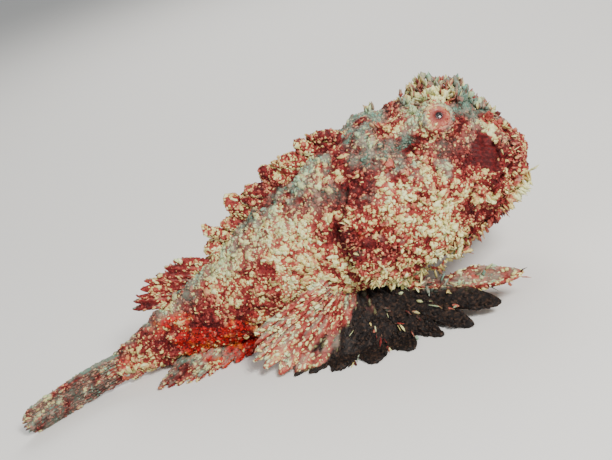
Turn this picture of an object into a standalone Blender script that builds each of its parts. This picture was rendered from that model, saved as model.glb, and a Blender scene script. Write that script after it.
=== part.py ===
# A bearded scorpionfish (false stonefish), life size, propped on its fins with its tail on the floor.
# +X is towards the snout, +Y the fish's left and +Z up. The tables are in millimetres.
import math
import random

import bmesh
import bpy
import numpy as np
from mathutils import Matrix, Vector

MM = 0.001
GAP = 0.3  # kept between nodes that touch
SKIN_GAP = 0.4  # between the skin and a fin or flap that grows from it
RIGHT = -1
LEFT = 1
SIDE_NAMES = {RIGHT: "right", LEFT: "left"}

# Stations of the body from the tail stem to the lips:
# x, height of the back, height of the belly, half width.
BODY_STATIONS = np.array([
    (-252, 23.5, 0.6, 4.6),
    (-238, 28.5, 0.2, 7.0),
    (-220, 36.0, -0.3, 11.0),
    (-200, 45.5, -0.3, 16.0),
    (-180, 57.0, 1.0, 22.0),
    (-158, 72.0, 4.0, 28.5),
    (-135, 85.0, 7.5, 33.5),
    (-115, 94.5, 11.0, 37.5),
    (-98, 100.5, 13.0, 40.0),
    (-80, 104.0, 14.5, 40.5),
    (-62, 106.0, 17.0, 39.5),
    (-45, 106.0, 21.0, 37.5),
    (-30, 103.5, 26.5, 34.5),
    (-18, 97.0, 33.0, 31.0),
    (-9, 88.5, 38.5, 27.0),
    (-3, 81.0, 42.5, 22.5),
    (1.5, 73.0, 47.0, 16.5),
    (4, 66.5, 51.5, 9.5),
])
TAIL_END = -250
SNOUT_END = 4
WIDEST_SHARE = 0.42  # where the body is widest, as a share of its height
BACK_ROUNDNESS = 2.15  # superellipse powers of the section above and below the widest line
BELLY_ROUNDNESS = 2.6
RING_POINTS = 28
SWAY_START = -175  # behind this the tail bends to the right
SWAY = 12.0
SWAY_LENGTH = 77

# Swellings and pits of the head, alike on both sides: x, y, z, radius, height.
HEAD_FORMS = (
    (-40, 21, 97, 12.0, 6.0),  # dome round the eye
    (-38, 10, 107, 7.0, 9.0),  # brow above the eye
    (-24, 11, 101, 8.0, 5.5),  # front end of the brow
    (-38, 0, 105, 9.0, -8.0),  # valley between the eyes
    (-63, 0, 106, 9.0, -5.5),  # pit behind the eyes
    (-57, 30, 89, 7.0, -4.5),  # pit behind and under the eye
    (-55, 14, 105, 6.0, 3.0),  # ridge from the eye to the nape
    (-76, 15, 103, 7.0, 4.0),  # nape spine ridge
    (-12, 0, 92, 8.0, 3.0),  # hump of the upper jaw
    (-22, 29, 72, 8.0, 2.5),  # cheek bone, front
    (-42, 36, 68, 9.0, 3.0),  # cheek bone, rear
)

LUMPS = {"height": 1.1, "apart": 14.0, "slant": 0.35}  # the low lumps of the skin

EYE = {"x": -40, "y": 20.5, "z": 97.0, "radius": 9.5, "look": (0.12, 0.75, 0.65)}
LID = {"ring": 6.6, "thickness": 1.5, "rise": 7.0}
MOUTH_CORNER = (-22, 58)  # x and z
MOUTH_SLOPE = math.radians(27)
JAW_HINGE = (-52, 0)
NAPE_LINE = ((-99, 160), (-105, -20))
STEM_LINE = ((-196, 160), (-198, -20))
FLOOR_SINK = 0.4  # fins reach this far below the floor before it cuts them flat

GILL_COVER = {
    # turn, front edge x, rear edge x
    "rows": ((42, -52, -88), (75, -48, -103), (100, -46, -102), (125, -42, -92), (143, -40, -78)),
    "columns": 10,
    "steps": 5,
    "outer": (1.6, 6.0),
    "inner": (0.75, 3.6),
}
PECTORAL = {
    # share of the root, root x, root turn, first and last direction, length
    "rows": (
        (0.00, -118, 96, -0.90, 0.35, -0.25, -0.95, 0.05, -0.30, 50),
        (0.25, -118, 113, -0.82, 0.45, -0.38, -0.95, 0.15, -0.30, 60),
        (0.50, -112, 130, -0.55, 0.65, -0.55, -0.55, 0.55, -0.50, 54),
        (0.75, -102, 143, 0.30, 0.65, -0.60, 0.60, 0.65, -0.25, 56),
        (1.00, -90, 154, 0.78, 0.50, -0.30, 0.92, 0.18, 0.30, 84),
    ),
    "rays": 15,
    "steps": 5,
    "sunk": 5.0,
    "ray": (4.6, 2.2),
    "web": (2.2, 0.9),
    "notch": 0.9,
    "finger_notch": 0.66,  # at the front end, where the rays are free fingers
}
PELVIC = {
    "rows": (
        (0.00, -104, 158, -0.60, 0.40, -0.70, -0.95, 0.30, -0.10, 36),
        (0.50, -99, 163, -0.35, 0.50, -0.80, -0.75, 0.65, -0.10, 42),
        (1.00, -94, 168, -0.10, 0.55, -0.85, -0.40, 0.90, -0.10, 38),
    ),
    "rays": 6,
    "steps": 6,
    "sunk": 4.0,
    "ray": (4.4, 2.0),
    "web": (2.4, 0.9),
    "notch": 0.88,
}
SPINY_DORSAL = {"front": -86, "rear": -178, "spines": 12, "tall": (11, 14, 13, 10), "short_share": 0.72,
                "lean": 50, "sway": 3, "thick": (9.0, 7.0), "web": (4.4, 2.4), "notch": 0.45,
                "blunt": 0.5, "steps": 3, "sunk": 5.0}
SOFT_DORSAL = {"front": -180.5, "rear": -214, "rays": 8, "long": (15, 24, 17), "lean": 62,
               "ray": (3.6, 1.6), "web": (1.8, 0.8), "notch": 0.82, "steps": 4, "sunk": 4.0}
ANAL = {"front": -160, "rear": -214, "rays": 9, "long": (24, 36, 30), "height": 5.5,
        "ray": (4.4, 1.8), "web": (2.4, 0.9), "notch": 0.84, "steps": 4}
CAUDAL = {"root": -245, "low": 3.5, "high": 21, "tip_low": -0.4, "tip_high": 17, "long": 61, "bend": 9.0,
          "rays": 10, "ray": (5.2, 1.8), "web": (3.0, 0.9), "notch": 0.93, "steps": 5}

# The fringe of flaps runs down the rear edge of the gill cover and along its lower edge: turn, x.
FRINGE = {
    "outline": ((52, -92), (75, -102), (100, -101), (124, -91), (141, -77), (141, -60), (141, -45)),
    "flaps": 20, "centre": (95, -68), "lift": 3.2, "sunk": 3.0, "long": (7.0, 10.5), "wide": 3.6,
    "short_from": 112, "short_to_x": -70, "short": 4.5,
}
# The beard on the lower jaw: turns on each side and x of each row.
BEARD = {"rows": ((-12, 118, 180), (-27, 128, 180), (-41, 140, 180)), "step": 19, "long": (7.0, 11.0), "wide": 3.2}
BROW_FLAPS = ((-33, 14, 7.5), (-44, 14, 7.5), (-24, 16, 6.5))  # x, turn, length
CREST_WARTS = ((-53, 18), (-60, 15), (-68, 14), (-77, 13), (-86, 12), (-50, 35), (-60, 33), (-70, 30),
               (-20, 22), (-12, 35), (-26, 45), (-30, 62), (-36, 78))  # x, turn
SNOUT_FLAPS = ((-6, 30, 5.0), (-14, 62, 6.0), (-24, 80, 6.0), (-33, 92, 6.0))
TRUNK_FLAPS = {"front": -110, "rear": -190, "turns": (20, 40, 58, 74, 92, 112), "step": 19.5, "long": (4.5, 7.5),
               "wide": 2.8}
STEM_FLAPS = {"front": -203, "rear": -244, "turns": (35, 65, 95), "step": 15, "long": (3.5, 5.5), "wide": 2.2}
LIP = {"radius": 1.7, "above_mouth": 1.95, "sunk": 0.7, "stops": 8, "rear": -20,
       "under_top": 0.8}
NOSTRIL = {"x": -13, "turn": 28, "radius": 2.0, "rise": 1.7, "hole": 1.0}
WART = {"wide": 4.2, "tall": 2.4}

ROSE = (0.42, 0.16, 0.15)
CREAM = (0.62, 0.50, 0.40)
EYE_PINK = (0.55, 0.22, 0.20)


def along_body(x, column):
    """One column of the stations at x, on a smooth curve through them."""
    places = BODY_STATIONS[:, 0]
    values = BODY_STATIONS[:, column]
    slopes = np.gradient(values, places)
    i = np.clip(np.searchsorted(places, x) - 1, 0, len(places) - 2)
    span = places[i + 1] - places[i]
    t = (x - places[i]) / span
    return (
        (1 + 2 * t) * (1 - t) ** 2 * values[i]
        + t * (1 - t) ** 2 * span * slopes[i]
        + t * t * (3 - 2 * t) * values[i + 1]
        + t * t * (t - 1) * span * slopes[i + 1]
    )


def sway(x):
    """How far the middle of the body lies to the right of the straight line."""
    return -SWAY * (max(0.0, SWAY_START - x) / SWAY_LENGTH) ** 2


def plain_point(x, turn):
    """Point of the smooth body. turn is 0 on the back, 180 on the belly and + down the left flank."""
    top, bottom, half_width = (along_body(x, column) for column in (1, 2, 3))
    widest = bottom + WIDEST_SHARE * (top - bottom)
    angle = math.radians(turn)
    above = math.cos(angle) > 0
    power = 2 / (BACK_ROUNDNESS if above else BELLY_ROUNDNESS)
    up = abs(math.cos(angle)) ** power
    out = abs(math.sin(angle)) ** power
    height = widest + up * ((top - widest) if above else (bottom - widest))
    return np.array([x, sway(x) + math.copysign(out * half_width, math.sin(angle)), height])


def outward(x, turn):
    """Unit normal of the smooth body."""
    step = 1.0
    ahead = plain_point(min(x + step, SNOUT_END), turn) - plain_point(max(x - step, TAIL_END), turn)
    round_it = plain_point(x, turn + 2 * step) - plain_point(x, turn - 2 * step)
    normal = np.cross(ahead, round_it)
    return normal / np.linalg.norm(normal)


def lumps(point):
    """Height of the skin's low lumps, which run round the body in slanting rows."""
    wave = 2 * math.pi / LUMPS["apart"]
    x, y, z = point
    row = math.sin(wave * (x + LUMPS["slant"] * z)) * math.sin(wave * (z - LUMPS["slant"] * x))
    return LUMPS["height"] * row * math.cos(wave * y / 2)


def skin_point(x, turn, lift=0.0):
    """Point of the skin with the head's forms, lifted along its normal, still in millimetres."""
    plain = plain_point(x, turn)
    swell = lift + lumps(plain)
    for form_x, form_y, form_z, radius, height in HEAD_FORMS:
        away = plain - np.array([form_x, math.copysign(form_y, plain[1]), form_z])
        swell += height * math.exp(-away.dot(away) / radius**2)
    return plain + swell * outward(x, turn)


def new_object(name, mesh, collection):
    obj = bpy.data.objects.new(name, mesh)
    collection.objects.link(obj)
    return obj


def mesh_of(name, points, faces):
    """A mesh in metres of points in millimetres, its faces turned outwards."""
    mesh = bpy.data.meshes.new(name)
    mesh.from_pydata([tuple(c * MM for c in p) for p in points], [], faces)
    shape = bmesh.new()
    shape.from_mesh(mesh)
    bmesh.ops.recalc_face_normals(shape, faces=shape.faces[:])
    shape.to_mesh(mesh)
    shape.free()
    return mesh


def remove(obj):
    bpy.data.objects.remove(obj)


def span_of(faces):
    corners = [v.co for face in faces for v in face.verts]
    size = [max(c[k] for c in corners) - min(c[k] for c in corners) for k in range(3)]
    return size[0] * size[1] * size[2]


def keep_largest(mesh):
    """Deletes every closed surface of the mesh but the one that spans most."""
    shape = bmesh.new()
    shape.from_mesh(mesh)
    waiting = set(shape.faces)
    groups = []
    while waiting:
        start = waiting.pop()
        group = {start}
        front = [start]
        while front:
            face = front.pop()
            for edge in face.edges:
                for other in edge.link_faces:
                    if other in waiting:
                        waiting.discard(other)
                        group.add(other)
                        front.append(other)
        groups.append(group)
    groups.sort(key=span_of, reverse=True)
    for group in groups[1:]:
        bmesh.ops.delete(shape, geom=list(group), context="FACES")
    shape.to_mesh(mesh)
    shape.free()


def combine(obj, operation, tool, solver="EXACT"):
    """Cuts obj with, or joins it to, an object or a collection of them, and keeps its largest closed surface."""
    modifier = obj.modifiers.new(operation.lower(), "BOOLEAN")
    modifier.operation = operation
    modifier.solver = solver
    is_group = isinstance(tool, bpy.types.Collection)
    if is_group:
        modifier.operand_type = "COLLECTION"
        modifier.collection = tool
    else:
        modifier.object = tool
    graph = bpy.context.evaluated_depsgraph_get()
    result = bpy.data.meshes.new_from_object(obj.evaluated_get(graph))
    obj.modifiers.clear()
    obj.data = result
    if is_group:
        for piece in list(tool.objects):
            remove(piece)
    keep_largest(obj.data)


def body_loft(name, collection, lift=0.0):
    """The whole body in rings from the lips to the tail stem, closed at both ends."""
    stations = [SNOUT_END, 2.8, 0.8, -1.6, -4.6]
    while stations[-1] > -104:
        stations.append(stations[-1] - 5.4)
    while stations[-1] > TAIL_END + 10:
        stations.append(stations[-1] - 8.5)
    stations.append(TAIL_END)
    turns = [360 * i / RING_POINTS for i in range(RING_POINTS)]
    points = [skin_point(x, turn, lift) for x in stations for turn in turns]
    for point in points[:RING_POINTS]:
        point[0] = max(point[0], SNOUT_END + lift)
    for point in points[-RING_POINTS:]:
        point[0] = TAIL_END - lift
    faces = []
    for ring in range(len(stations) - 1):
        for i in range(RING_POINTS):
            j = (i + 1) % RING_POINTS
            a = ring * RING_POINTS
            b = a + RING_POINTS
            faces.append((a + i, a + j, b + j))
            faces.append((a + i, b + j, b + i))
    last = (len(stations) - 1) * RING_POINTS
    snout = len(points)
    points.append(np.array([SNOUT_END + lift + 0.8, 0, (points[0][2] + points[RING_POINTS // 2][2]) / 2]))
    points.append(np.mean(points[last:last + RING_POINTS], axis=0))
    for i in range(RING_POINTS):
        j = (i + 1) % RING_POINTS
        faces.append((i, j, snout))
        faces.append((last + i, last + j, snout + 1))
    return new_object(name, mesh_of(name, points, faces), collection)


def shifted(line, distance):
    """A line of points in x and z moved to its left by a distance, its corners kept sharp."""
    points = [np.array(p, float) for p in line]
    runs = [(b - a) / np.linalg.norm(b - a) for a, b in zip(points, points[1:])]
    sides = [np.array([-d[1], d[0]]) for d in runs]
    moved = [points[0] + sides[0] * distance]
    for corner, before, after in zip(points[1:], sides, sides[1:]):
        middle = before + after
        moved.append(corner + middle * distance * 2 / middle.dot(middle))
    moved.append(points[-1] + sides[-1] * distance)
    return [tuple(p) for p in moved]


def prism(name, outline, collection):
    """A cutter: an outline in x and z, drawn out to both sides."""
    half = 200 * MM
    shape = bmesh.new()
    face = shape.faces.new([shape.verts.new((x * MM, -half, z * MM)) for x, z in outline])
    drawn = bmesh.ops.extrude_face_region(shape, geom=[face])
    moved = [v for v in drawn["geom"] if isinstance(v, bmesh.types.BMVert)]
    bmesh.ops.translate(shape, verts=moved, vec=(0, 2 * half, 0))
    bmesh.ops.recalc_face_normals(shape, faces=shape.faces[:])
    mesh = bpy.data.meshes.new(name)
    shape.to_mesh(mesh)
    shape.free()
    return new_object(name, mesh, collection)


def lengthwise_part(name, body, outline, fish):
    """The part of the whole body that lies inside an outline in x and z."""
    part = new_object(name, body.data.copy(), fish)
    cutter = prism("cutter", outline, fish)
    combine(part, "INTERSECT", cutter)
    remove(cutter)
    return part


def sheet_solid(name, middle, thickness, collection):
    """A closed fin about a grid of mid-surface points, with both faces split along the same diagonals."""
    across = np.gradient(middle, axis=0)
    along = np.gradient(middle, axis=1)
    normal = np.cross(across, along)
    normal /= np.linalg.norm(normal, axis=2, keepdims=True) + 1e-9
    front = middle + normal * thickness[:, :, None] / 2
    back = middle - normal * thickness[:, :, None] / 2
    return closed_sheet(name, front, back, collection)


def closed_sheet(name, front, back, collection):
    """A closed solid between two grids of points."""
    columns, rows = front.shape[0] - 1, front.shape[1] - 1
    points = list(front.reshape(-1, 3)) + list(back.reshape(-1, 3))
    size = (columns + 1) * (rows + 1)

    def at(i, j, side=0):
        return side * size + i * (rows + 1) + j

    faces = []
    for i in range(columns):
        for j in range(rows):
            corners = (at(i, j), at(i + 1, j), at(i + 1, j + 1), at(i, j + 1))
            for triangle in ((0, 1, 2), (0, 2, 3)):
                faces.append(tuple(corners[k] for k in triangle))
                faces.append(tuple(corners[k] + size for k in reversed(triangle)))
    rim = [(i, 0) for i in range(columns)] + [(columns, j) for j in range(rows)]
    rim += [(i, rows) for i in range(columns, 0, -1)] + [(0, j) for j in range(rows, 0, -1)]
    for k, here in enumerate(rim):
        there = rim[(k + 1) % len(rim)]
        faces.append((at(*here), at(*there), at(*there, 1)))
        faces.append((at(*here), at(*there, 1), at(*here, 1)))
    return new_object(name, mesh_of(name, points, faces), collection)


def blend_rows(rows, u):
    """Between the rows of a small table, each of which starts with its own u."""
    for first, second in zip(rows, rows[1:]):
        if u <= second[0]:
            break
    t = (u - first[0]) / (second[0] - first[0])
    return [a + (b - a) * t for a, b in zip(first[1:], second[1:])]


def blend_list(values, u):
    """Between evenly spaced values, u from 0 to 1."""
    places = np.linspace(0, 1, len(values))
    return float(np.interp(u, places, values))


def above_floor(point, thickness):
    """The point, raised where a fin of that thickness would reach below the floor."""
    return np.array([point[0], point[1], max(point[2], thickness / 2 - FLOOR_SINK)])


def ray_thickness(table, is_ray, along):
    thick, thin = table["ray"] if is_ray else table["web"]
    return thick + (thin - thick) * along


def web_share(table, u):
    """How far the web reaches along its rays, less so towards the free fingers at the front end of a fin."""
    return table["notch"] + (table.get("finger_notch", table["notch"]) - table["notch"]) * max(0.0, 2 * u - 1)


def rayed_grid(table, root_of, first_way, last_way, length_of):
    """Mid-surface and thickness of a fin with rays, one column on each ray and one on each web between.
    The ways are unit vectors at the root and tip, and each column bends evenly from one to the other."""
    columns = 2 * table["rays"]
    steps = table["steps"]
    middle = np.zeros((columns + 1, steps + 1, 3))
    thickness = np.zeros((columns + 1, steps + 1))
    for i in range(columns + 1):
        u = i / columns
        is_ray = i % 2 == 1
        length = length_of(u) * (1 if is_ray else web_share(table, u))
        point = root_of(u)
        for j in range(steps + 1):
            v = j / steps
            thick = ray_thickness(table, is_ray, v)
            middle[i, j] = above_floor(point, thick)
            thickness[i, j] = thick
            way = first_way(u) * (1 - v) + last_way(u) * v
            point = middle[i, j] + way / np.linalg.norm(way) * length / steps
    return middle, thickness


def paired_fin(name, table, side, fish):
    """A pectoral or pelvic fin, from the rows of its table."""
    def row(u):
        return blend_rows(table["rows"], u)

    def root_of(u):
        return skin_point(row(u)[0], side * row(u)[1], -table["sunk"])

    def first_way(u):
        return np.array(row(u)[2:5]) * (1, side, 1)

    def last_way(u):
        return np.array(row(u)[5:8]) * (1, side, 1)

    grid = rayed_grid(table, root_of, first_way, last_way, lambda u: row(u)[8])
    return sheet_solid(f"{name}_{SIDE_NAMES[side]}", *grid, fish)


def spiny_dorsal(fish):
    """The front dorsal fin: thick fleshy spines that lean back, with a notched web between them."""
    table = SPINY_DORSAL
    per_spine = 4
    columns = table["spines"] * per_spine
    middle = np.zeros((columns + 1, table["steps"] + 1, 3))
    thickness = np.zeros((columns + 1, table["steps"] + 1))
    for i in range(columns + 1):
        u = i / columns
        x = table["front"] + (table["rear"] - table["front"]) * u
        number = i // per_spine
        spine = ((1 - math.cos(2 * math.pi * i / per_spine)) / 2) ** table["blunt"]
        tall = blend_list(table["tall"], u) * (table["short_share"] if number % 2 else 1)
        height = tall * (table["notch"] + (1 - table["notch"]) * spine)
        lean = math.radians(table["lean"] + 12 * math.sin(2.1 * i / per_spine))
        side = table["sway"] * math.sin(1.7 * number) * spine
        way = np.array([-math.sin(lean), 0, math.cos(lean)])
        base = skin_point(x, 0, -table["sunk"])
        for j in range(table["steps"] + 1):
            v = j / table["steps"]
            middle[i, j] = base + way * (height + table["sunk"]) * v + np.array([0, side * v * v, 0])
            spiny = table["thick"][0] + (table["thick"][1] - table["thick"][0]) * v
            web = table["web"][0] + (table["web"][1] - table["web"][0]) * v
            thickness[i, j] = web + (spiny - web) * spine
    return sheet_solid("dorsal_fin_spiny", middle, thickness, fish)


def soft_dorsal(fish):
    table = SOFT_DORSAL

    def root_of(u):
        return skin_point(table["front"] + (table["rear"] - table["front"]) * u, 0, -table["sunk"])

    def way(u):
        lean = math.radians(table["lean"] + 12 * u)
        return np.array([-math.sin(lean), -0.12, math.cos(lean)])

    grid = rayed_grid(table, root_of, way, way, lambda u: blend_list(table["long"], u) + table["sunk"])
    return sheet_solid("dorsal_fin_soft", *grid, fish)


def anal_fin(fish):
    table = ANAL

    def root_of(u):
        x = table["front"] + (table["rear"] - table["front"]) * u
        return np.array([x, sway(x) - 3, table["height"]])

    def first_way(u):
        return np.array([-0.35 - 0.25 * u, -0.9, -0.2])

    def last_way(u):
        return np.array([-0.6, -0.75, -0.1])

    grid = rayed_grid(table, root_of, first_way, last_way, lambda u: blend_list(table["long"], u))
    return sheet_solid("anal_fin", *grid, fish)


def caudal_fin(fish):
    """The tail fin, nearly folded, lying along the floor."""
    table = CAUDAL
    columns = 2 * table["rays"]
    slope = 2 * SWAY * (SWAY_START - table["root"]) / SWAY_LENGTH**2
    middle = np.zeros((columns + 1, table["steps"] + 1, 3))
    thickness = np.zeros((columns + 1, table["steps"] + 1))
    for i in range(columns + 1):
        u = i / columns
        is_ray = i % 2 == 1
        length = table["long"] * (1 if is_ray else table["notch"]) * (1 - 0.10 * (2 * u - 1) ** 2)
        for j in range(table["steps"] + 1):
            v = j / table["steps"]
            x = table["root"] - length * v
            y = sway(table["root"]) - slope * length * v - table["bend"] * v * v
            root_z = table["low"] + (table["high"] - table["low"]) * u
            tip_z = table["tip_low"] + (table["tip_high"] - table["tip_low"]) * u
            thick = ray_thickness(table, is_ray, v)
            wave = 1.3 * math.sin(9 * u + 2 * v) * v
            middle[i, j] = (x, y + wave, root_z + (tip_z - root_z) * v)
            thickness[i, j] = thick
    return sheet_solid("caudal_fin", middle, thickness, fish)


def gill_cover(side, collection, margin=0.0):
    """The flap over the gills: it lies close to the cheek in front and stands off the skin at its rear edge.
    With a margin it is a cutter that clears a way round the flap."""
    table = GILL_COVER
    front_grid = np.zeros((table["columns"] + 1, table["steps"] + 1, 3))
    back_grid = np.zeros((table["columns"] + 1, table["steps"] + 1, 3))
    first_turn = table["rows"][0][0]
    last_turn = table["rows"][-1][0]
    for i in range(table["columns"] + 1):
        turn = first_turn + (last_turn - first_turn) * i / table["columns"]
        front, rear = blend_rows(table["rows"], turn)
        turn += margin * (2 * i / table["columns"] - 1) * 2
        for j in range(table["steps"] + 1):
            v = j / table["steps"]
            x = front + margin + (rear - front - 2 * margin) * v
            edge = math.sin(math.pi * i / table["columns"]) ** 0.5
            outer = table["outer"][0] + (table["outer"][1] - table["outer"][0]) * v * (0.35 + 0.65 * edge)
            inner = table["inner"][0] + (table["inner"][1] - table["inner"][0]) * v**2 * edge
            front_grid[i, j] = skin_point(x, side * turn, outer + margin)
            back_grid[i, j] = skin_point(x, side * turn, min(inner, outer - 0.9) - margin)
    return closed_sheet(f"gill_cover_{SIDE_NAMES[side]}", front_grid, back_grid, collection)


def ball(name, centre, radius, collection, segments=14):
    shape = bmesh.new()
    bmesh.ops.create_uvsphere(shape, u_segments=segments, v_segments=segments // 2, radius=radius * MM)
    bmesh.ops.translate(shape, verts=shape.verts[:], vec=Vector(centre) * MM)
    mesh = bpy.data.meshes.new(name)
    shape.to_mesh(mesh)
    shape.free()
    return new_object(name, mesh, collection)


def tapered_flap(name, path, widths, side, flatness, collection, sides=4):
    """A closed flap or spine along a path: widths are its full widths there, and it is flattened across side."""
    points, faces = [], []
    for k, (centre, width) in enumerate(zip(path, widths)):
        ahead = path[min(k + 1, len(path) - 1)] - path[max(k - 1, 0)]
        ahead = ahead / np.linalg.norm(ahead)
        wide = side - ahead * side.dot(ahead)
        wide = wide / np.linalg.norm(wide)
        thin = np.cross(ahead, wide)
        for i in range(sides):
            angle = 2 * math.pi * i / sides
            points.append(centre + (wide * math.cos(angle) + thin * math.sin(angle) * flatness) * width / 2)
    for k in range(len(path) - 1):
        for i in range(sides):
            j = (i + 1) % sides
            a, b = k * sides, (k + 1) * sides
            faces.append((a + i, a + j, b + j, b + i))
    faces.append(tuple(range(sides)))
    faces.append(tuple(range((len(path) - 1) * sides, len(path) * sides)))
    return new_object(name, mesh_of(name, points, faces), collection)


def flap_from(root, way, normal, length, width, collection, grow=0.0, curl=0.35):
    """One skin flap: it leaves its root along way, broadens, narrows to its tip and curls towards the skin."""
    shares = (0.0, 0.55, 1.0)
    widths = np.array([0.95, 1.1, 0.3]) * width + 2 * grow
    reach = length + grow
    path = [root + way * reach * t - normal * reach * curl * t * t for t in shares]
    side = np.cross(way, normal)
    flatness = 0.45 if grow == 0 else 0.8
    return tapered_flap("flap", path, widths, side, flatness, collection)


def backwards(x, turn):
    """Unit vector along the skin towards the tail."""
    way = skin_point(x - 2, turn) - skin_point(x + 2, turn)
    return way / np.linalg.norm(way)


def flap_on_skin(x, turn, length, width, collection, out=0.62, sunk=1.8):
    normal = outward(x, turn)
    way = backwards(x, turn) * (1 - out) + normal * out
    way = way / np.linalg.norm(way)
    root = skin_point(x, turn, -sunk)
    flap_from(root, way, normal, length + sunk, width, collection)


def wart(x, turn, collection):
    """A blunt cone on the crests of the head, leaning back."""
    normal = outward(x, turn)
    back = backwards(x, turn)
    root = skin_point(x, turn, -1.2)
    path = [root, root + normal * 1.6, root + normal * (1.2 + WART["tall"]) + back * 1.4]
    tapered_flap("wart", path, (WART["wide"], WART["wide"] * 0.9, 1.2), back, 1.0, collection)


def fringe(side, collection, grow=0.0):
    """The flaps along the free edge of a gill cover, pointing away from its middle."""
    table = FRINGE
    draw = random.Random(31)
    turns, xs = (np.array(column, float) for column in zip(*table["outline"]))
    along = np.concatenate([[0], np.cumsum(np.hypot(np.diff(turns) * 0.7, np.diff(xs)))])
    middle = skin_point(table["centre"][1], side * table["centre"][0], 0)
    for k in range(table["flaps"]):
        place = along[-1] * (k + 0.5) / table["flaps"]
        turn = float(np.interp(place, along, turns))
        x = float(np.interp(place, along, xs))
        length = draw.uniform(*table["long"])
        width = table["wide"] * draw.uniform(0.8, 1.15)
        lean = draw.uniform(-0.25, 0.25)
        if turn > table["short_from"] and x < table["short_to_x"]:
            length = table["short"]
        normal = outward(x, side * turn)
        edge = skin_point(x, side * turn, table["lift"])
        away = edge - middle
        away = away - normal * away.dot(normal)
        away = away / np.linalg.norm(away)
        across = np.cross(away, normal)
        way = away + across * lean + normal * 0.28
        way = way / np.linalg.norm(way)
        flap_from(edge - way * table["sunk"], way, normal, length + table["sunk"], width, collection, grow, 0.08)


def cheek_flaps(side, collection):
    """A few flaps on the face of a gill cover."""
    draw = random.Random(32)
    for turn, x in ((68, -70), (84, -84), (98, -66), (108, -82), (120, -60)):
        flap_on_skin(x, side * turn, draw.uniform(4.5, 6.5), 2.8, collection, sunk=-1.0)


def beard(collection):
    draw = random.Random(33)
    for x, first, last in BEARD["rows"]:
        turn = first
        while turn <= last:
            for side in (RIGHT, LEFT):
                length = draw.uniform(*BEARD["long"])
                if turn < last or side == RIGHT:
                    flap_on_skin(x, side * turn, length, BEARD["wide"], collection, out=0.7)
            turn += BEARD["step"]


def scattered_flaps(table, seed, allowed, collection):
    draw = random.Random(seed)
    rows = int((table["front"] - table["rear"]) / table["step"])
    for row in range(rows + 1):
        for k, turn in enumerate(table["turns"]):
            x = table["front"] - table["step"] * (row + 0.5 * (k % 2)) + draw.uniform(-2, 2)
            for side in (RIGHT, LEFT):
                place = turn + draw.uniform(-4, 4)
                length = draw.uniform(*table["long"])
                if x > table["rear"] and allowed(x, place):
                    flap_on_skin(x, side * place, length, table["wide"], collection)


def turn_at_height(x, height):
    """The turn on the left flank at which the smooth body has this height."""
    top, bottom = along_body(x, 1), along_body(x, 2)
    widest = bottom + WIDEST_SHARE * (top - bottom)
    if height > widest:
        share = min(1.0, (height - widest) / (top - widest))
        return math.degrees(math.acos(share ** (BACK_ROUNDNESS / 2)))
    share = min(1.0, (widest - height) / (widest - bottom))
    return 180 - math.degrees(math.acos(share ** (BELLY_ROUNDNESS / 2)))


def mouth_height(x):
    return MOUTH_CORNER[1] + (x - MOUTH_CORNER[0]) * math.tan(MOUTH_SLOPE)


def lip_front(above):
    """The foremost x at which a lip at this height above the mouth still lies under the top of the snout."""
    x = SNOUT_END - 0.6
    while along_body(x, 1) < mouth_height(x) + above + LIP["under_top"]:
        x -= 0.1
    return x


def lip(above, collection):
    """A lip: a rounded ridge along the mouth, from one corner round the snout to the other."""
    path = []
    for side in (RIGHT, LEFT):
        places = np.linspace(LIP["rear"], lip_front(above), LIP["stops"])
        for x in places if side == RIGHT else places[::-1]:
            turn = turn_at_height(x, mouth_height(x) + above)
            point = skin_point(x, side * turn, -LIP["sunk"])
            point[2] = mouth_height(point[0]) + above
            path.append(point)
    up = np.array([-math.sin(MOUTH_SLOPE), 0, math.cos(MOUTH_SLOPE)])
    widths = [2 * LIP["radius"] * (0.55 if k in (0, len(path) - 1) else 1) for k in range(len(path))]
    tapered_flap("lip", path, widths, up, 1.0, collection, sides=6)


def nostril(side, collection, width, low, high):
    """A short upright peg on the snout, used for the rim and, thinner, for its hole."""
    normal = outward(NOSTRIL["x"], side * NOSTRIL["turn"])
    path = [skin_point(NOSTRIL["x"], side * NOSTRIL["turn"], lift) for lift in (low, high)]
    tapered_flap("nostril", path, (width, width * 0.85), np.cross(normal, (1.0, 0.0, 0.0)), 1.0, collection, sides=8)


def eye_centre(side):
    return Vector((EYE["x"], side * EYE["y"], EYE["z"]))


def eye_look(side):
    x, y, z = EYE["look"]
    return Vector((x, side * y, z)).normalized()


def lid_ring(name, side, collection):
    """The lids: a ring round the eye's opening."""
    look = eye_look(side)
    turn = Vector((0, 0, 1)).rotation_difference(look).to_matrix()
    ring_points = 14
    tube_points = 5
    points = []
    for i in range(ring_points):
        angle = 2 * math.pi * i / ring_points
        for j in range(tube_points):
            tube = 2 * math.pi * j / tube_points
            reach = LID["ring"] + LID["thickness"] * math.cos(tube)
            local = Vector((reach * math.cos(angle), reach * math.sin(angle), LID["thickness"] * math.sin(tube)))
            points.append(eye_centre(side) + look * LID["rise"] + turn @ local)
    faces = []
    for i in range(ring_points):
        for j in range(tube_points):
            a, b = i * tube_points, (i + 1) % ring_points * tube_points
            k = (j + 1) % tube_points
            faces.append((a + j, b + j, b + k, a + k))
    return new_object(name, mesh_of(name, points, faces), collection)


def free_of_fins(x, turn):
    """Whether a flap at this place on either flank stands clear of the fins and of the parting cuts."""
    on_back = turn < 14
    on_pectoral = turn > 84 and x > -136
    by_cut = abs(x - NAPE_LINE[0][0]) < 9 or abs(x - STEM_LINE[0][0]) < 5
    by_anal_fin = turn > 118 and x < -156
    return not (on_back or on_pectoral or by_cut or by_anal_fin)


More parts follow.
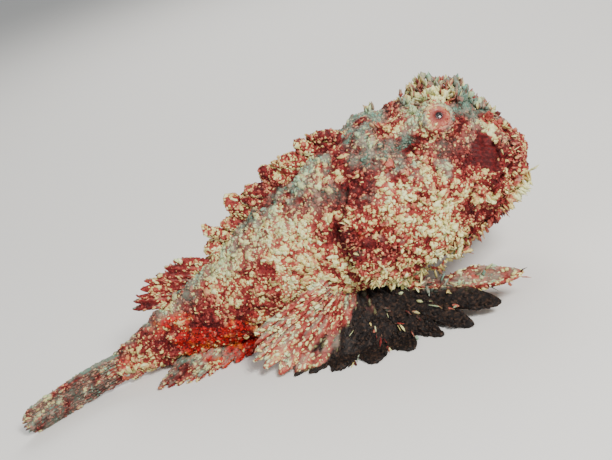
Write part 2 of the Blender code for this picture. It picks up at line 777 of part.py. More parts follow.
def floor_cutter(fish):
    shape = bmesh.new()
    bmesh.ops.create_cube(shape, size=1)
    bmesh.ops.scale(shape, verts=shape.verts[:], vec=(1.0, 1.0, 0.04))
    bmesh.ops.translate(shape, verts=shape.verts[:], vec=(0, 0, -0.02))
    mesh = bpy.data.meshes.new("floor")
    shape.to_mesh(mesh)
    shape.free()
    return new_object("floor", mesh, fish)


def body_parts(whole, fish):
    """Head, lower jaw, trunk and tail stem, parted by thin cuts."""
    far = 60
    mouth = [
        (far, mouth_height(far)),
        MOUTH_CORNER,
        JAW_HINGE,
        (JAW_HINGE[0], -20),
    ]
    half = GAP / 2
    mouth_above = shifted(mouth, -half)
    mouth_below = shifted(mouth, half)
    nape_front = shifted(NAPE_LINE, half)
    nape_behind = shifted(NAPE_LINE, -half)
    stem_front = shifted(STEM_LINE, half)
    stem_behind = shifted(STEM_LINE, -half)
    head = lengthwise_part("head", whole, [nape_front[0], (far, 160), *mouth_above, nape_front[1]], fish)
    jaw = lengthwise_part("lower_jaw", whole, [*mouth_below, (far, -20)], fish)
    trunk = lengthwise_part("trunk", whole, [*stem_front, *reversed(nape_behind)], fish)
    stem = lengthwise_part("tail_stem", whole, [(-300, 160), *stem_behind, (-300, -20)], fish)
    return head, jaw, trunk, stem


def finish(obj, colour, roughness):
    """Material and smooth shading of a node."""
    material = bpy.data.materials.new(obj.name)
    material.use_nodes = True
    shader = material.node_tree.nodes["Principled BSDF"]
    shader.inputs["Base Color"].default_value = (*colour, 1)
    shader.inputs["Roughness"].default_value = roughness
    shader.inputs["Metallic"].default_value = 0
    obj.data.materials.clear()
    obj.data.materials.append(material)
    obj.data.shade_smooth()
    obj.data.set_sharp_from_angle(angle=math.radians(50))


def stand_on_origin(nodes):
    """Moves the meshes so that the origin is under the middle of the whole fish's box, at its lowest point."""
    corners = [obj.matrix_world @ v.co for obj in nodes for v in obj.data.vertices]
    low = [min(c[k] for c in corners) for k in range(3)]
    high = [max(c[k] for c in corners) for k in range(3)]
    shift = Vector((-(low[0] + high[0]) / 2, -(low[1] + high[1]) / 2, -low[2]))
    for obj in nodes:
        obj.data.transform(Matrix.Translation(shift))


def main():
    for obj in list(bpy.data.objects):
        bpy.data.objects.remove(obj)
    fish = bpy.data.collections.new("scorpionfish")
    tools = bpy.data.collections.new("cutters")
    pieces = bpy.data.collections.new("pieces")
    for collection in (fish, tools, pieces):
        bpy.context.scene.collection.children.link(collection)

    whole = body_loft("whole", tools)
    clearance = body_loft("clearance", tools, SKIN_GAP)
    head, jaw, trunk, stem = body_parts(whole, fish)

    eyes = []
    for side in (RIGHT, LEFT):
        lid_ring("lid", side, pieces)
        nostril(side, pieces, 2 * NOSTRIL["radius"], -1.5, NOSTRIL["rise"])
        for x, turn, length in BROW_FLAPS + SNOUT_FLAPS:
            flap_on_skin(x, side * turn, length, 2.8, pieces, out=0.75)
        for x, turn in CREST_WARTS:
            wart(x, side * turn, pieces)
    lip(LIP["above_mouth"], pieces)
    combine(head, "UNION", pieces, "MANIFOLD")
    for side in (RIGHT, LEFT):
        nostril(side, pieces, 2 * NOSTRIL["hole"], -1.2, NOSTRIL["rise"] + 1)
    combine(head, "DIFFERENCE", pieces, "MANIFOLD")
    beard(pieces)
    lip(-LIP["above_mouth"], pieces)
    combine(jaw, "UNION", pieces, "MANIFOLD")
    scattered_flaps(TRUNK_FLAPS, 34, free_of_fins, pieces)
    combine(trunk, "UNION", pieces, "MANIFOLD")
    scattered_flaps(STEM_FLAPS, 35, free_of_fins, pieces)
    combine(stem, "UNION", pieces, "MANIFOLD")
    for side in (RIGHT, LEFT):
        socket = ball("socket", eye_centre(side), EYE["radius"] + GAP, tools)
        combine(head, "DIFFERENCE", socket)
        remove(socket)
        eyes.append(ball(f"eye_{SIDE_NAMES[side]}", eye_centre(side), EYE["radius"], fish))

    covers = []
    for side in (RIGHT, LEFT):
        cover = gill_cover(side, fish)
        combine(cover, "DIFFERENCE", clearance, "MANIFOLD")
        fringe(side, pieces)
        cheek_flaps(side, pieces)
        combine(cover, "UNION", pieces, "MANIFOLD")
        covers.append(cover)
    pectorals = [paired_fin("pectoral_fin", PECTORAL, side, fish) for side in (RIGHT, LEFT)]
    pelvics = [paired_fin("pelvic_fin", PELVIC, side, fish) for side in (RIGHT, LEFT)]
    backs = [spiny_dorsal(fish), soft_dorsal(fish)]
    rears = [anal_fin(fish), caudal_fin(fish)]
    for side, pectoral in zip((RIGHT, LEFT), pectorals):
        gill_cover(side, pieces, 2 * GAP)
        fringe(side, pieces, 2 * GAP)
        combine(pectoral, "DIFFERENCE", pieces, "MANIFOLD")
    grown = covers + pectorals + pelvics + backs + rears
    for obj in grown:
        combine(obj, "DIFFERENCE", clearance, "MANIFOLD")  # EXACT loses the folded webs

    floor = floor_cutter(tools)
    for obj in [jaw, trunk, stem] + grown:
        combine(obj, "DIFFERENCE", floor, "MANIFOLD")
    for tool in (whole, clearance, floor):
        remove(tool)

    for obj in (head, jaw, trunk, stem):
        finish(obj, ROSE, 0.75)
    for obj in covers:
        finish(obj, CREAM, 0.8)
    for obj in eyes:
        finish(obj, EYE_PINK, 0.3)
    for obj in pectorals + pelvics + backs + rears:
        finish(obj, ROSE, 0.8)
    stand_on_origin(list(fish.objects))


if __name__ == "__main__":
    main()
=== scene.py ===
import itertools
import math

import bmesh
import bpy
import numpy as np
from mathutils import Matrix, Vector


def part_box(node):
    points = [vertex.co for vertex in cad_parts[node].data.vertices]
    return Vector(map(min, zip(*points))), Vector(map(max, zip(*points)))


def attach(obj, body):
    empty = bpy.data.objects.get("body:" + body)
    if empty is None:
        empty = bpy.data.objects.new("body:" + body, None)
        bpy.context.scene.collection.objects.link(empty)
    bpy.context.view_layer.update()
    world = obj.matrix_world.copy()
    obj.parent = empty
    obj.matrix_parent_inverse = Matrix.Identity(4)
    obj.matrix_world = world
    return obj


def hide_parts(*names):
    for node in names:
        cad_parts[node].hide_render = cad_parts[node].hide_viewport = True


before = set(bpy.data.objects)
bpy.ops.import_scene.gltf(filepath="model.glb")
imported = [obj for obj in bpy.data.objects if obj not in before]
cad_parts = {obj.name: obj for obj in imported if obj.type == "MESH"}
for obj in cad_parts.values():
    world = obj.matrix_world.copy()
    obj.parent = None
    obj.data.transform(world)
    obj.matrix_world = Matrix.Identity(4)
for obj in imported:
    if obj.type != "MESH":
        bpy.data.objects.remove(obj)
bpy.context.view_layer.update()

mm = 0.001
right, left = -1, 1
sideNames = {right: "right", left: "left"}

body = {
    # x, height of the back, height of the belly, half width
    "stations": np.array([
        (-252, 23.5, 0.6, 4.6), (-238, 28.5, 0.2, 7.0), (-220, 36.0, -0.3, 11.0), (-200, 45.5, -0.3, 16.0),
        (-180, 57.0, 1.0, 22.0), (-158, 72.0, 4.0, 28.5), (-135, 85.0, 7.5, 33.5), (-115, 94.5, 11.0, 37.5),
        (-98, 100.5, 13.0, 40.0), (-80, 104.0, 14.5, 40.5), (-62, 106.0, 17.0, 39.5), (-45, 106.0, 21.0, 37.5),
        (-30, 103.5, 26.5, 34.5), (-18, 97.0, 33.0, 31.0), (-9, 88.5, 38.5, 27.0), (-3, 81.0, 42.5, 22.5),
        (1.5, 73.0, 47.0, 16.5), (4, 66.5, 51.5, 9.5),
    ]),
    "tailEnd": -250, "snoutEnd": 4,
    "widestShare": 0.42,  # where the body is widest, as a share of its height
    "backRoundness": 2.15, "bellyRoundness": 2.6,
    "swayStart": -175, "sway": 12.0, "swayLength": 77,  # the tail bends to the right
    # swellings and pits on both sides of the head: x, y, z, radius, height
    "forms": (
        (-40, 21, 97, 12.0, 6.0), (-38, 10, 107, 7.0, 9.0), (-24, 11, 101, 8.0, 5.5), (-38, 0, 105, 9.0, -8.0),
        (-63, 0, 106, 9.0, -5.5), (-57, 30, 89, 7.0, -4.5), (-55, 14, 105, 6.0, 3.0), (-76, 15, 103, 7.0, 4.0),
        (-12, 0, 92, 8.0, 3.0), (-22, 29, 72, 8.0, 2.5), (-42, 36, 68, 9.0, 3.0),
    ),
    # finer forms of the skin alone: mounds, pits and folds
    "fineForms": (
        (-44, 35, 77, 4.2, 2.4), (-58, 27, 95, 3.6, -4.0), (-52, 30, 92, 3.0, -2.0), (-21, 17, 98, 3.0, -2.2),
        (-15, 16, 90, 2.8, -2.0), (-17, 21, 88, 3.4, 2.4), (-33, 34, 44, 4.5, -2.5), (-68, 33, 90, 5.0, 2.0),
        (-60, 38, 80, 5.0, 1.6), (-9, 20, 80, 3.0, 1.8), (-112, 34, 66, 4.0, 2.4), (-106, 36, 63, 3.0, -3.0),
        (-96, 36, 84, 5.0, -1.6), (-125, 30, 74, 7.0, 1.8), (-140, 28, 66, 6.0, 1.4), (-160, 24, 55, 6.0, 1.4),
        (-84, 20, 101, 5.0, 2.0), (-92, 27, 93, 5.0, -1.5), (-7, 24, 60, 3.0, 1.5),
        (-103, 43, 50, 3.0, -2.0),
    ),
    "lumps": {"height": 1.1, "apart": 14.0, "slant": 0.35},  # low lumps in slanting rows, as on the solids
}
eye = {"x": -40, "y": 20.5, "z": 97.0, "radius": 9.5, "look": (0.12, 0.75, 0.65)}
mouth = {"cornerX": -22, "cornerZ": 58, "slope": math.radians(27)}

eyeLow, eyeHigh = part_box("eye_right")
shift = np.array((eyeLow + eyeHigh) / 2) - np.array((eye["x"], -eye["y"], eye["z"])) * mm


# small helpers
def between(pair, share):
    return pair[0] + (pair[1] - pair[0]) * share


def ridge(value, middle, width):
    return np.exp(-(((value - middle) / width) ** 2))


def unit(vectors):
    return vectors / (np.linalg.norm(vectors, axis=-1, keepdims=True) + 1e-9)


def stacked(*columns):
    return np.stack(np.broadcast_arrays(*columns), axis=-1)


def sideOf(points):
    return np.where(points[..., 1] < 0, -1.0, 1.0)


def mirrorOf(points):
    side = sideOf(points)
    return stacked(1.0, side, 1.0)


def smooth(value, low, high):
    t = np.clip((value - low) / (high - low), 0, 1)
    return t * t * (3 - 2 * t)


def roundedEnd(v, start, width):
    # 1 up to start, then a quarter round down to 0
    return np.sqrt(np.clip(1 - ((v - start) / width) ** 2, 0, 1)) * (v > start) + (v <= start)


# the smooth body
def alongBody(x, column):
    places = body["stations"][:, 0]
    values = body["stations"][:, column]
    slopes = np.gradient(values, places)
    i = np.clip(np.searchsorted(places, x) - 1, 0, len(places) - 2)
    span = places[i + 1] - places[i]
    t = (x - places[i]) / span
    start = (1 + 2 * t) * (1 - t) ** 2 * values[i] + t * (1 - t) ** 2 * span * slopes[i]
    end = t * t * (3 - 2 * t) * values[i + 1] + t * t * (t - 1) * span * slopes[i + 1]
    return start + end


def sway(x):
    return -body["sway"] * (np.maximum(0.0, body["swayStart"] - x) / body["swayLength"]) ** 2


def plainPoint(x, turn):
    # turn is 0 on the back, 180 on the belly and + down the left flank
    x, turn = np.broadcast_arrays(np.asarray(x, float), np.asarray(turn, float))
    top, bottom, halfWidth = (alongBody(x, column) for column in (1, 2, 3))
    widest = bottom + body["widestShare"] * (top - bottom)
    angle = np.radians(turn)
    above = np.cos(angle) > 0
    power = 2 / np.where(above, body["backRoundness"], body["bellyRoundness"])
    up = np.abs(np.cos(angle)) ** power
    out = np.abs(np.sin(angle)) ** power
    height = widest + up * np.where(above, top - widest, bottom - widest)
    return np.stack([x, sway(x) + np.sign(np.sin(angle)) * out * halfWidth, height], axis=-1)


def outward(x, turn):
    x = np.asarray(x, float)
    before, behind = np.minimum(x + 1, body["snoutEnd"]), np.maximum(x - 1, body["tailEnd"])
    ahead = plainPoint(before, turn) - plainPoint(behind, turn)
    around = plainPoint(x, np.asarray(turn) + 2.0) - plainPoint(x, np.asarray(turn) - 2.0)
    return unit(np.cross(ahead, around))


def lumps(points):
    wave = 2 * math.pi / body["lumps"]["apart"]
    slant = body["lumps"]["slant"]
    x, y, z = points[..., 0], points[..., 1], points[..., 2]
    rows = np.sin(wave * (x + slant * z)) * np.sin(wave * (z - slant * x))
    return body["lumps"]["height"] * rows * np.cos(wave * y / 2)


def skinPoint(x, turn, lift=0.0, fine=False):
    plain = plainPoint(x, turn)
    swell = lumps(plain) + lift
    for formX, formY, formZ, radius, height in body["forms"] + (body["fineForms"] if fine else ()):
        away = (plain[..., 0] - formX) ** 2 + (plain[..., 1] - sideOf(plain) * formY) ** 2
        away = away + (plain[..., 2] - formZ) ** 2
        swell = swell + height * np.exp(-away / radius**2)
    return plain + swell[..., None] * outward(x, turn)


# noise on arrays of points
latticeSize = 64
lattice = np.random.default_rng(7).random((latticeSize,) * 3)


def softNoise(points, size, seed=0):
    # smooth noise from 0 to 1 with lumps of this size
    place = points / size + seed * 17.31
    cell = np.floor(place).astype(int)
    t = place - cell
    t = t * t * (3 - 2 * t)
    total = 0
    for corner in itertools.product((0, 1), repeat=3):
        weight = np.prod(np.where(corner, t, 1 - t), axis=-1)
        at = (cell + corner) % latticeSize
        total = total + weight * lattice[at[..., 0], at[..., 1], at[..., 2]]
    return total


def lumpNoise(points, size, seed=0):
    # rounded lumps: 1 on top of a lump, 0 in the creases between two
    place = points / size + seed * 11.7
    cell = np.floor(place).astype(int)
    first = np.full(place.shape[:-1], 9.0)
    second = first.copy()
    for step in itertools.product((-1, 0, 1), repeat=3):
        at = (cell + step) % latticeSize
        centre = cell + step + np.stack([
            lattice[at[..., 0], at[..., 1], at[..., 2]],
            lattice[at[..., 1], at[..., 2], at[..., 0]],
            lattice[at[..., 2], at[..., 0], at[..., 1]],
        ], axis=-1)
        away = np.linalg.norm(place - centre, axis=-1)
        second = np.minimum(second, np.maximum(first, away))
        first = np.minimum(first, away)
    return np.clip((second - first) * 1.6, 0, 1) ** 0.7


def spot(points, x, y, z, radius, seed=0, rough=0.5):
    # 1 in a ragged round patch of this radius on each side, 0 outside
    centre = stacked(x, sideOf(points) * abs(y), z)
    away = np.sqrt(((points - centre) ** 2).sum(axis=-1))
    ragged = away + (softNoise(points, radius * 0.45, seed) - 0.5) * radius * 2 * rough
    return 1 - smooth(ragged, radius * 0.75, radius * 1.15)


# where the skin is bare, and how it is marked
membrane = {"middle": (-19.5, 29.0, 76.0), "radii": (8.5, 12, 12.5), "edge": (0.82, 1.02)}
lids = {"bare": (6.0, 7.8), "crest": (6.4, 0.8), "groove": (11.5, 1.5), "reach": 10.5, "blend": (7.6, 10.0),
        "radii": (0, 5.6, 6.3, 7.0, 8.2), "heights": (-2.0, -1.0, 1.2, 1.6, 1.1)}
crease = {"reach": 7.5, "width": 1.5, "start": (-182, -172), "end": (-90, -82), "below": (-7, -3)}


def bareness(points):
    # 1 where the skin is smooth: the red skin above the mouth corner, and round the eye
    away = (points - membrane["middle"] * mirrorOf(points)) / membrane["radii"]
    away = np.sqrt((away**2).sum(axis=-1))
    ragged = away + (softNoise(points, 3.0, 3) - 0.5) * 0.35
    eyes = 1 - smooth(eyeDistance(points)[0], *lids["bare"])
    return 1 - smooth(ragged, *membrane["edge"]), eyes


def eyeDistance(points):
    # distance from the eye's axis, and height along it from the eye's centre
    look = unit(np.array(eye["look"]))
    away = points * mirrorOf(points) - np.array((eye["x"], eye["y"], eye["z"]))
    height = away @ look
    radius = np.linalg.norm(away - height[..., None] * look, axis=-1)
    return np.where(height > 0, radius, 99.0), height


def mouthDistance(points):
    # height above the mouth line, and how much of the line is there
    line = mouth["cornerZ"] + (points[..., 0] - mouth["cornerX"]) * math.tan(mouth["slope"])
    above = (points[..., 2] - line) * math.cos(mouth["slope"])
    return above, smooth(points[..., 0], mouth["cornerX"] - 3, mouth["cornerX"] + 2)


def eyeGroove(points):
    # the fold under each eye: sunk into the skin, and darkened in tone as painted shade
    return ridge(eyeDistance(points)[0], *lids["groove"]) * smooth(eye["z"] - points[..., 2], 1.0, 5.0)


def dorsalCrease(points):
    # the crease on each side of the dorsal lumps: sunk into the skin, and darkened in tone as painted shade
    x, y, z = points[..., 0], points[..., 1], points[..., 2]
    reach = crease["reach"] + 1.6 * np.sin(x * 0.35) + 2 * (softNoise(points, 6, 9) - 0.5)
    along = smooth(x, *crease["start"]) * (1 - smooth(x, *crease["end"]))
    high = smooth(z - np.interp(x, body["stations"][:, 0], body["stations"][:, 1]), *crease["below"])
    return ridge(np.abs(y), reach, crease["width"]) * along * high


def clumps(points):
    # ragged clumps a few millimetres wide: 1 on top of one, 0 between two
    shaken = points + 2.4 * (softNoise(points, 4, 8)[..., None] - 0.5)
    return lumpNoise(shaken, 5.4, 2)


# patches seen in the photo: x, y, z, radius, and how much is added to the tone or how red it is
# painted shade: the patches that take tone away over pits of the fine forms, at x, z of (-96, 82), (-25, 98), (-57,
# 93), (-33, 44), (-103, 50) and (-106, 62), and the one at (-103, -44, 60) on the gill cover's rear edge, paint the
# shade in those pits and the cover's shadow
tonePatches = (
    (-62, -41, 66, 22, 0.26), (-50, -37, 38, 17, 0.24), (-44, -35, 77, 6, 0.22), (-114, -22, 91, 12, 0.24),
    (-148, -26, 66, 19, 0.28), (-128, -32, 52, 22, 0.26), (-66, -42, 72, 6, 0.3), (-118, -40, 30, 16, 0.20),
    (-16, -19, 86, 5, 0.35), (-30, -31, 60, 11, 0.14), (-233, -13, 12, 12, 0.12), (-96, -38, 82, 11, -0.26),
    (-84, -44, 43, 6, -0.15), (-25, -18, 98, 8, -0.2), (-57, -27, 93, 6, -0.4), (-33, -34, 44, 8, -0.25),
    (-103, -44, 60, 7, -0.35), (-178, -18, 42, 17, 0.22), (-163, -26, 44, 15, 0.16), (-75, -38, 84, 6, 0.28),
    (-150, -52, 18, 30, 0.14), (-200, -10, 40, 14, 0.12), (-103, -43, 50, 4, -0.5), (-106, -36, 62, 5, -0.35),
    (-7, -24, 60, 7, -0.2), (-80, -30, 96, 12, -0.1), (-42, -10, 110, 14, 0.12),
)
redPatches = (
    (-200, -14, 14, 15, 1.0), (-180, -15, 6, 15, 0.9), (-214, -11, 30, 5, 1.0), (-221, -11, 31, 5, 0.8),
    (-162, -20, 20, 10, 0.3), (-41, -44, 13, 4.5, 1.0), (-106, -17, 98, 4, 0.8), (-248, -16, 12, 7, 0.7),
    (-88, -42, 60, 6, 0.2),
)


def markings(points, upward):
    # tone runs from maroon through crimson and pink to cream; red and a painted teal light lie over it
    patches = softNoise(points, 19, 1) * 0.55 + softNoise(points, 8, 2) * 0.45
    tone = 0.43 + (patches - 0.5) * 1.0 + (clumps(points) - 0.5) * 0.34
    for x, y, z, radius, add in tonePatches:
        tone = tone + add * spot(points, x, y, z, radius, radius)
    # painted shade: darker in the fold under each eye and in the creases beside the dorsal lumps
    tone = tone - 0.5 * eyeGroove(points) - 0.4 * dorsalCrease(points)
    red = np.zeros(points.shape[:-1])
    for x, y, z, radius, much in redPatches:
        red = np.maximum(red, much * spot(points, x, y, z, radius, radius + 2, rough=0.9))
    # painted light: a teal cast of ambient light on upward-facing surfaces, stronger over the tail end and on one
    # cheek mound
    teal = smooth(upward, 0.25, 0.85) * smooth(softNoise(points, 9, 5), 0.2, 0.6)
    teal = teal + 0.45 * smooth(-points[..., 0], 225, 270) + 0.7 * spot(points, -44, -35, 78, 5)
    return np.clip(tone, 0, 1), red, np.clip(teal, 0, 1)


# shader maths
class Value:
    def __init__(self, finish, socket):
        self.finish = finish
        self.socket = socket

    def math(self, operation, first, second):
        return self.finish.node("ShaderNodeMath", {"operation": operation}, {0: first, 1: second})

    def __add__(self, other):
        return self.math("ADD", self, other)

    def __sub__(self, other):
        return self.math("SUBTRACT", self, other)

    def __mul__(self, other):
        return self.math("MULTIPLY", self, other)

    def __rsub__(self, other):
        return self.math("SUBTRACT", other, self)

    __radd__ = __add__
    __rmul__ = __mul__


class Finish:
    def __init__(self, name, roughness=0.6):
        self.material = bpy.data.materials.new(name)
        self.material.use_nodes = True
        self.tree = self.material.node_tree
        self.shader = self.tree.nodes["Principled BSDF"]
        self.give("Roughness", roughness)
        self.place = self.node("ShaderNodeTexCoord", output="Object")

    def node(self, kind, settings=None, inputs=None, output=0):
        made = self.tree.nodes.new(kind)
        for key, value in (settings or {}).items():
            if key == "stops":
                self.fillRamp(made.color_ramp, value)
            else:
                setattr(made, key, value)
        for key, value in (inputs or {}).items():
            self.feed(made.inputs[key], value)
        return Value(self, made.outputs[output])

    def fillRamp(self, ramp, stops):
        while len(ramp.elements) < len(stops):
            ramp.elements.new(0.5)
        for element, (position, colour) in zip(ramp.elements, stops):
            element.position = position
            element.color = (*colour, 1)

    def feed(self, socket, value):
        if isinstance(value, Value):
            self.tree.links.new(value.socket, socket)
        else:
            socket.default_value = value

    def give(self, name, value):
        self.feed(self.shader.inputs[name], value)

    def mix(self, factor, first, second):
        first = (*first, 1) if isinstance(first, tuple) else first
        second = (*second, 1) if isinstance(second, tuple) else second
        return self.node("ShaderNodeMix", {"data_type": "RGBA"}, {0: factor, 6: first, 7: second}, 2)

    def noise(self, size, detail=2.0, roughness=0.5):
        inputs = {"Vector": self.place, "Scale": 1 / (size * mm), "Detail": detail, "Roughness": roughness}
        return self.node("ShaderNodeTexNoise", None, inputs)

    def step(self, value, low, high):
        inputs = {"Value": value, "From Min": low, "From Max": high}
        return self.node("ShaderNodeMapRange", {"interpolation_type": "SMOOTHSTEP"}, inputs)

    def attribute(self, name):
        return self.node("ShaderNodeAttribute", {"attribute_name": name}, output="Fac")

    def vector(self, operation, first, second=None, output=0):
        inputs = {0: first} if second is None else {0: first, "Scale" if operation == "SCALE" else 1: second}
        return self.node("ShaderNodeVectorMath", {"operation": operation}, inputs, output)

    def bump(self, height, strength, distance):
        inputs = {"Height": height, "Strength": strength, "Distance": distance * mm}
        self.give("Normal", self.node("ShaderNodeBump", None, inputs))


colours = {
    "black": (0.008, 0.006, 0.006), "maroon": (0.050, 0.004, 0.005), "crimson": (0.165, 0.012, 0.013),
    "rose": (0.34, 0.058, 0.046), "pink": (0.50, 0.19, 0.12), "cream": (0.60, 0.46, 0.17),
    "pale": (0.68, 0.64, 0.26), "white": (0.76, 0.78, 0.44), "red": (0.56, 0.006, 0.006),
    "orange": (0.60, 0.12, 0.010), "teal": (0.18, 0.44, 0.34), "brown": (0.055, 0.030, 0.020),
    "pupil": (0.002, 0.002, 0.002),
}
toneStops = ((0.0, "maroon"), (0.18, "crimson"), (0.36, "rose"), (0.50, "pink"), (0.62, "cream"), (0.82, "pale"),
             (1.0, "white"))
# from the pupil outwards, radii on the eye in millimetres
iris = {"pupil": (1.7, 1.4), "inner": (2.6, 1.6), "red": (4.6, 2.0), "cream": (3.6, 5.6), "rim": (6.0, 7.8)}


def coatFinish(name, roughness=0.6):
    # the same markings on the skin and on its coat, read from their attributes
    finish = Finish(name, roughness)
    speck = finish.noise(0.7, 2.0)
    fine = finish.noise(1.6, 3.0)
    wide = finish.noise(7.0)
    tone = finish.attribute("tone") + (fine - 0.5) * 0.5 + (speck - 0.5) * 0.25 + (wide - 0.5) * 0.2
    stops = tuple((position, colours[key]) for position, key in toneStops)
    colour = finish.node("ShaderNodeValToRGB", {"stops": stops}, {"Fac": tone})
    hot = finish.mix(finish.step(wide, 0.50, 0.62), colours["red"], colours["orange"])
    colour = finish.mix(finish.attribute("red") * finish.step(fine, 0.34, 0.50), colour, hot)
    # the painted teal light of the ambient cast, laid over the markings
    colour = finish.mix(finish.attribute("teal") * finish.step(wide, 0.28, 0.58) * 0.8, colour, colours["teal"])
    # painted shade: near-black to brown, laid where the dark attribute is, on the front pectoral rays in the shadow
    # under the head
    paintedShadeColour = finish.mix(finish.step(fine, 0.45, 0.75), colours["black"], colours["brown"])
    finish.give("Base Color", finish.mix(finish.attribute("dark"), colour, paintedShadeColour))
    finish.give("Roughness", finish.step(speck, 0.2, 0.8) * 0.3 + (roughness - 0.15))
    finish.give("Specular IOR Level", 0.2)
    finish.bump(fine + speck * 0.5, 0.7, 0.6)
    return finish.material


def eyeFinish(side):
    finish = Finish(f"eye {sideNames[side]}", 0.22)
    look = tuple(unit(np.array(eye["look"]) * (1, side, 1)))
    centre = tuple(np.array((eye["x"], side * eye["y"], eye["z"])) * mm + shift)
    away = finish.vector("SUBTRACT", finish.place, centre)
    onAxis = finish.vector("SCALE", look, finish.vector("DOT_PRODUCT", away, look, "Value"))
    across = finish.vector("SUBTRACT", away, onAxis)
    radius = finish.vector("LENGTH", across, output="Value")
    inputs = {"Vector": finish.vector("NORMALIZE", across), "Scale": 9.0, "Detail": 4.0}
    rays = finish.node("ShaderNodeTexNoise", None, inputs)
    specks = finish.noise(0.9, 3.0)
    ring = {name: finish.step(radius, low * mm, high * mm) for name, (low, high) in iris.items()}
    colour = colours["rose"]
    for share, name in (
        (finish.step(rays, 0.30, 0.70), "pink"), (finish.step(specks, 0.50, 0.62) * 0.6, "rose"),
        (finish.step(specks, 0.60, 0.70) * ring["cream"], "cream"),
        (ring["red"] * finish.step(rays, 0.25, 0.55), "crimson"), (ring["inner"], "maroon"),
        (ring["pupil"], "pupil"), (ring["rim"], "maroon"),
    ):
        colour = finish.mix(share, colour, colours[name])
    finish.give("Base Color", colour)
    finish.bump(rays + specks, 0.5, 0.5)
    finish.give("Coat Weight", 0.6)
    finish.give("Coat Roughness", 0.04)
    return finish.material


# meshes from arrays
def storeMarks(mesh, tone, red, teal, dark):
    for name, numbers in (("tone", np.clip(tone, 0.03, 1)), ("red", red), ("teal", teal), ("dark", dark)):
        layer = mesh.attributes.new(name, "FLOAT", "POINT")
        layer.data.foreach_set("value", np.broadcast_to(numbers, len(mesh.vertices)).astype(np.float32))


def floatsOf(mesh, name):
    numbers = np.empty(len(mesh.vertices), np.float32)
    mesh.attributes[name].data.foreach_get("value", numbers)
    return numbers.astype(float)


def showPiece(name, mesh, material, nodes, slot, soft=True):
    mesh.materials.clear()
    mesh.materials.append(material)
    if soft:
        mesh.shade_smooth()
    piece = bpy.data.objects.new(name, mesh)
    bpy.context.scene.collection.objects.link(piece)
    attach(piece, "root")
    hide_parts(*nodes)
    return piece


def meshFrom(name, shape):
    mesh = bpy.data.meshes.new(name)
    shape.to_mesh(mesh)
    shape.free()
    return mesh


def pointsOf(shape):
    return np.array([v.co[:] for v in shape.verts])


floorClearance = 0.02


def setPoints(shape, points):
    # points in table millimetres go to their place in the frame, none below the floor
    points[:, 2] = np.maximum(points[:, 2], floorClearance)
    for vertex, place in zip(shape.verts, points * mm + shift):
        vertex.co = place


def arraysOf(mesh):
    # vertex points in table millimetres, and triangles
    points = np.empty(len(mesh.vertices) * 3)
    mesh.vertices.foreach_get("co", points)
    mesh.calc_loop_triangles()
    triangles = np.empty(len(mesh.loop_triangles) * 3, int)
    mesh.loop_triangles.foreach_get("vertices", triangles)
    return (points.reshape(-1, 3) - shift) / mm, triangles.reshape(-1, 3)


def vertexNormals(mesh):
    normals = np.empty(len(mesh.vertices) * 3, np.float32)
    mesh.vertices.foreach_get("normal", normals)
    return normals.reshape(-1, 3).astype(float)


# the skin
skin = {
    "around": 290, "rings": (0, 14, 54, 144, 286, 290), "places": (4, 4, -16, -100, -250, -250),
    "snoutMiddle": (4, 0, 62.0), "tailHeight": 12, "bulge": 1.2, "depth": 2.1,
    "lump": (1.5, 11), "clump": 1.1, "crease": (1.6, 7), "grain": (0.5, 1.5),  # height, and size of the noise
    "sunk": {"membrane": 1.4, "eyeGroove": 1.3, "dorsalCrease": 1.5},
    "nodes": ("head", "lower_jaw", "trunk", "tail_stem"),
}
# height, place above the mouth line and width of the groove and of both lips
lips = ((-3.0, 0.0, 0.9), (1.5, 2.3, 1.5), (1.7, -2.4, 1.6))


def relief(points, calm):
    # lumps, clumps, long creases and grain of the skin, in millimetres along its normal
    (lump, lumpSize), (fold, foldSize), (grain, grainSize) = skin["lump"], skin["crease"], skin["grain"]
    height = lump * (lumpNoise(points, lumpSize, 1) - 0.55) + skin["clump"] * (clumps(points) - 0.4)
    height = height + fold * (softNoise(points * (0.4, 1.0, 1.7), foldSize, 4) - 0.5)
    height = height + grain * (softNoise(points, grainSize, 3) - 0.5)
    return height * (1 - calm)


def mouthRelief(points):
    above, there = mouthDistance(points)
    return sum(height * ridge(above, middle, width) for height, middle, width in lips) * there


def shapeLids(points):
    # sinks the skin under the ball of the eye and raises a lid round the opening
    radius, height = eyeDistance(points)
    ball = np.sqrt(np.maximum(eye["radius"] ** 2 - radius**2, 0))
    rim = np.interp(radius, lids["radii"], lids["heights"]) + ball
    inside = 1 - smooth(radius, *lids["blend"])
    wanted = rim * inside + height * (1 - inside)
    move = np.where(radius < lids["reach"], wanted - height, 0.0)
    return points + move[..., None] * unit(np.array(eye["look"])) * mirrorOf(points)


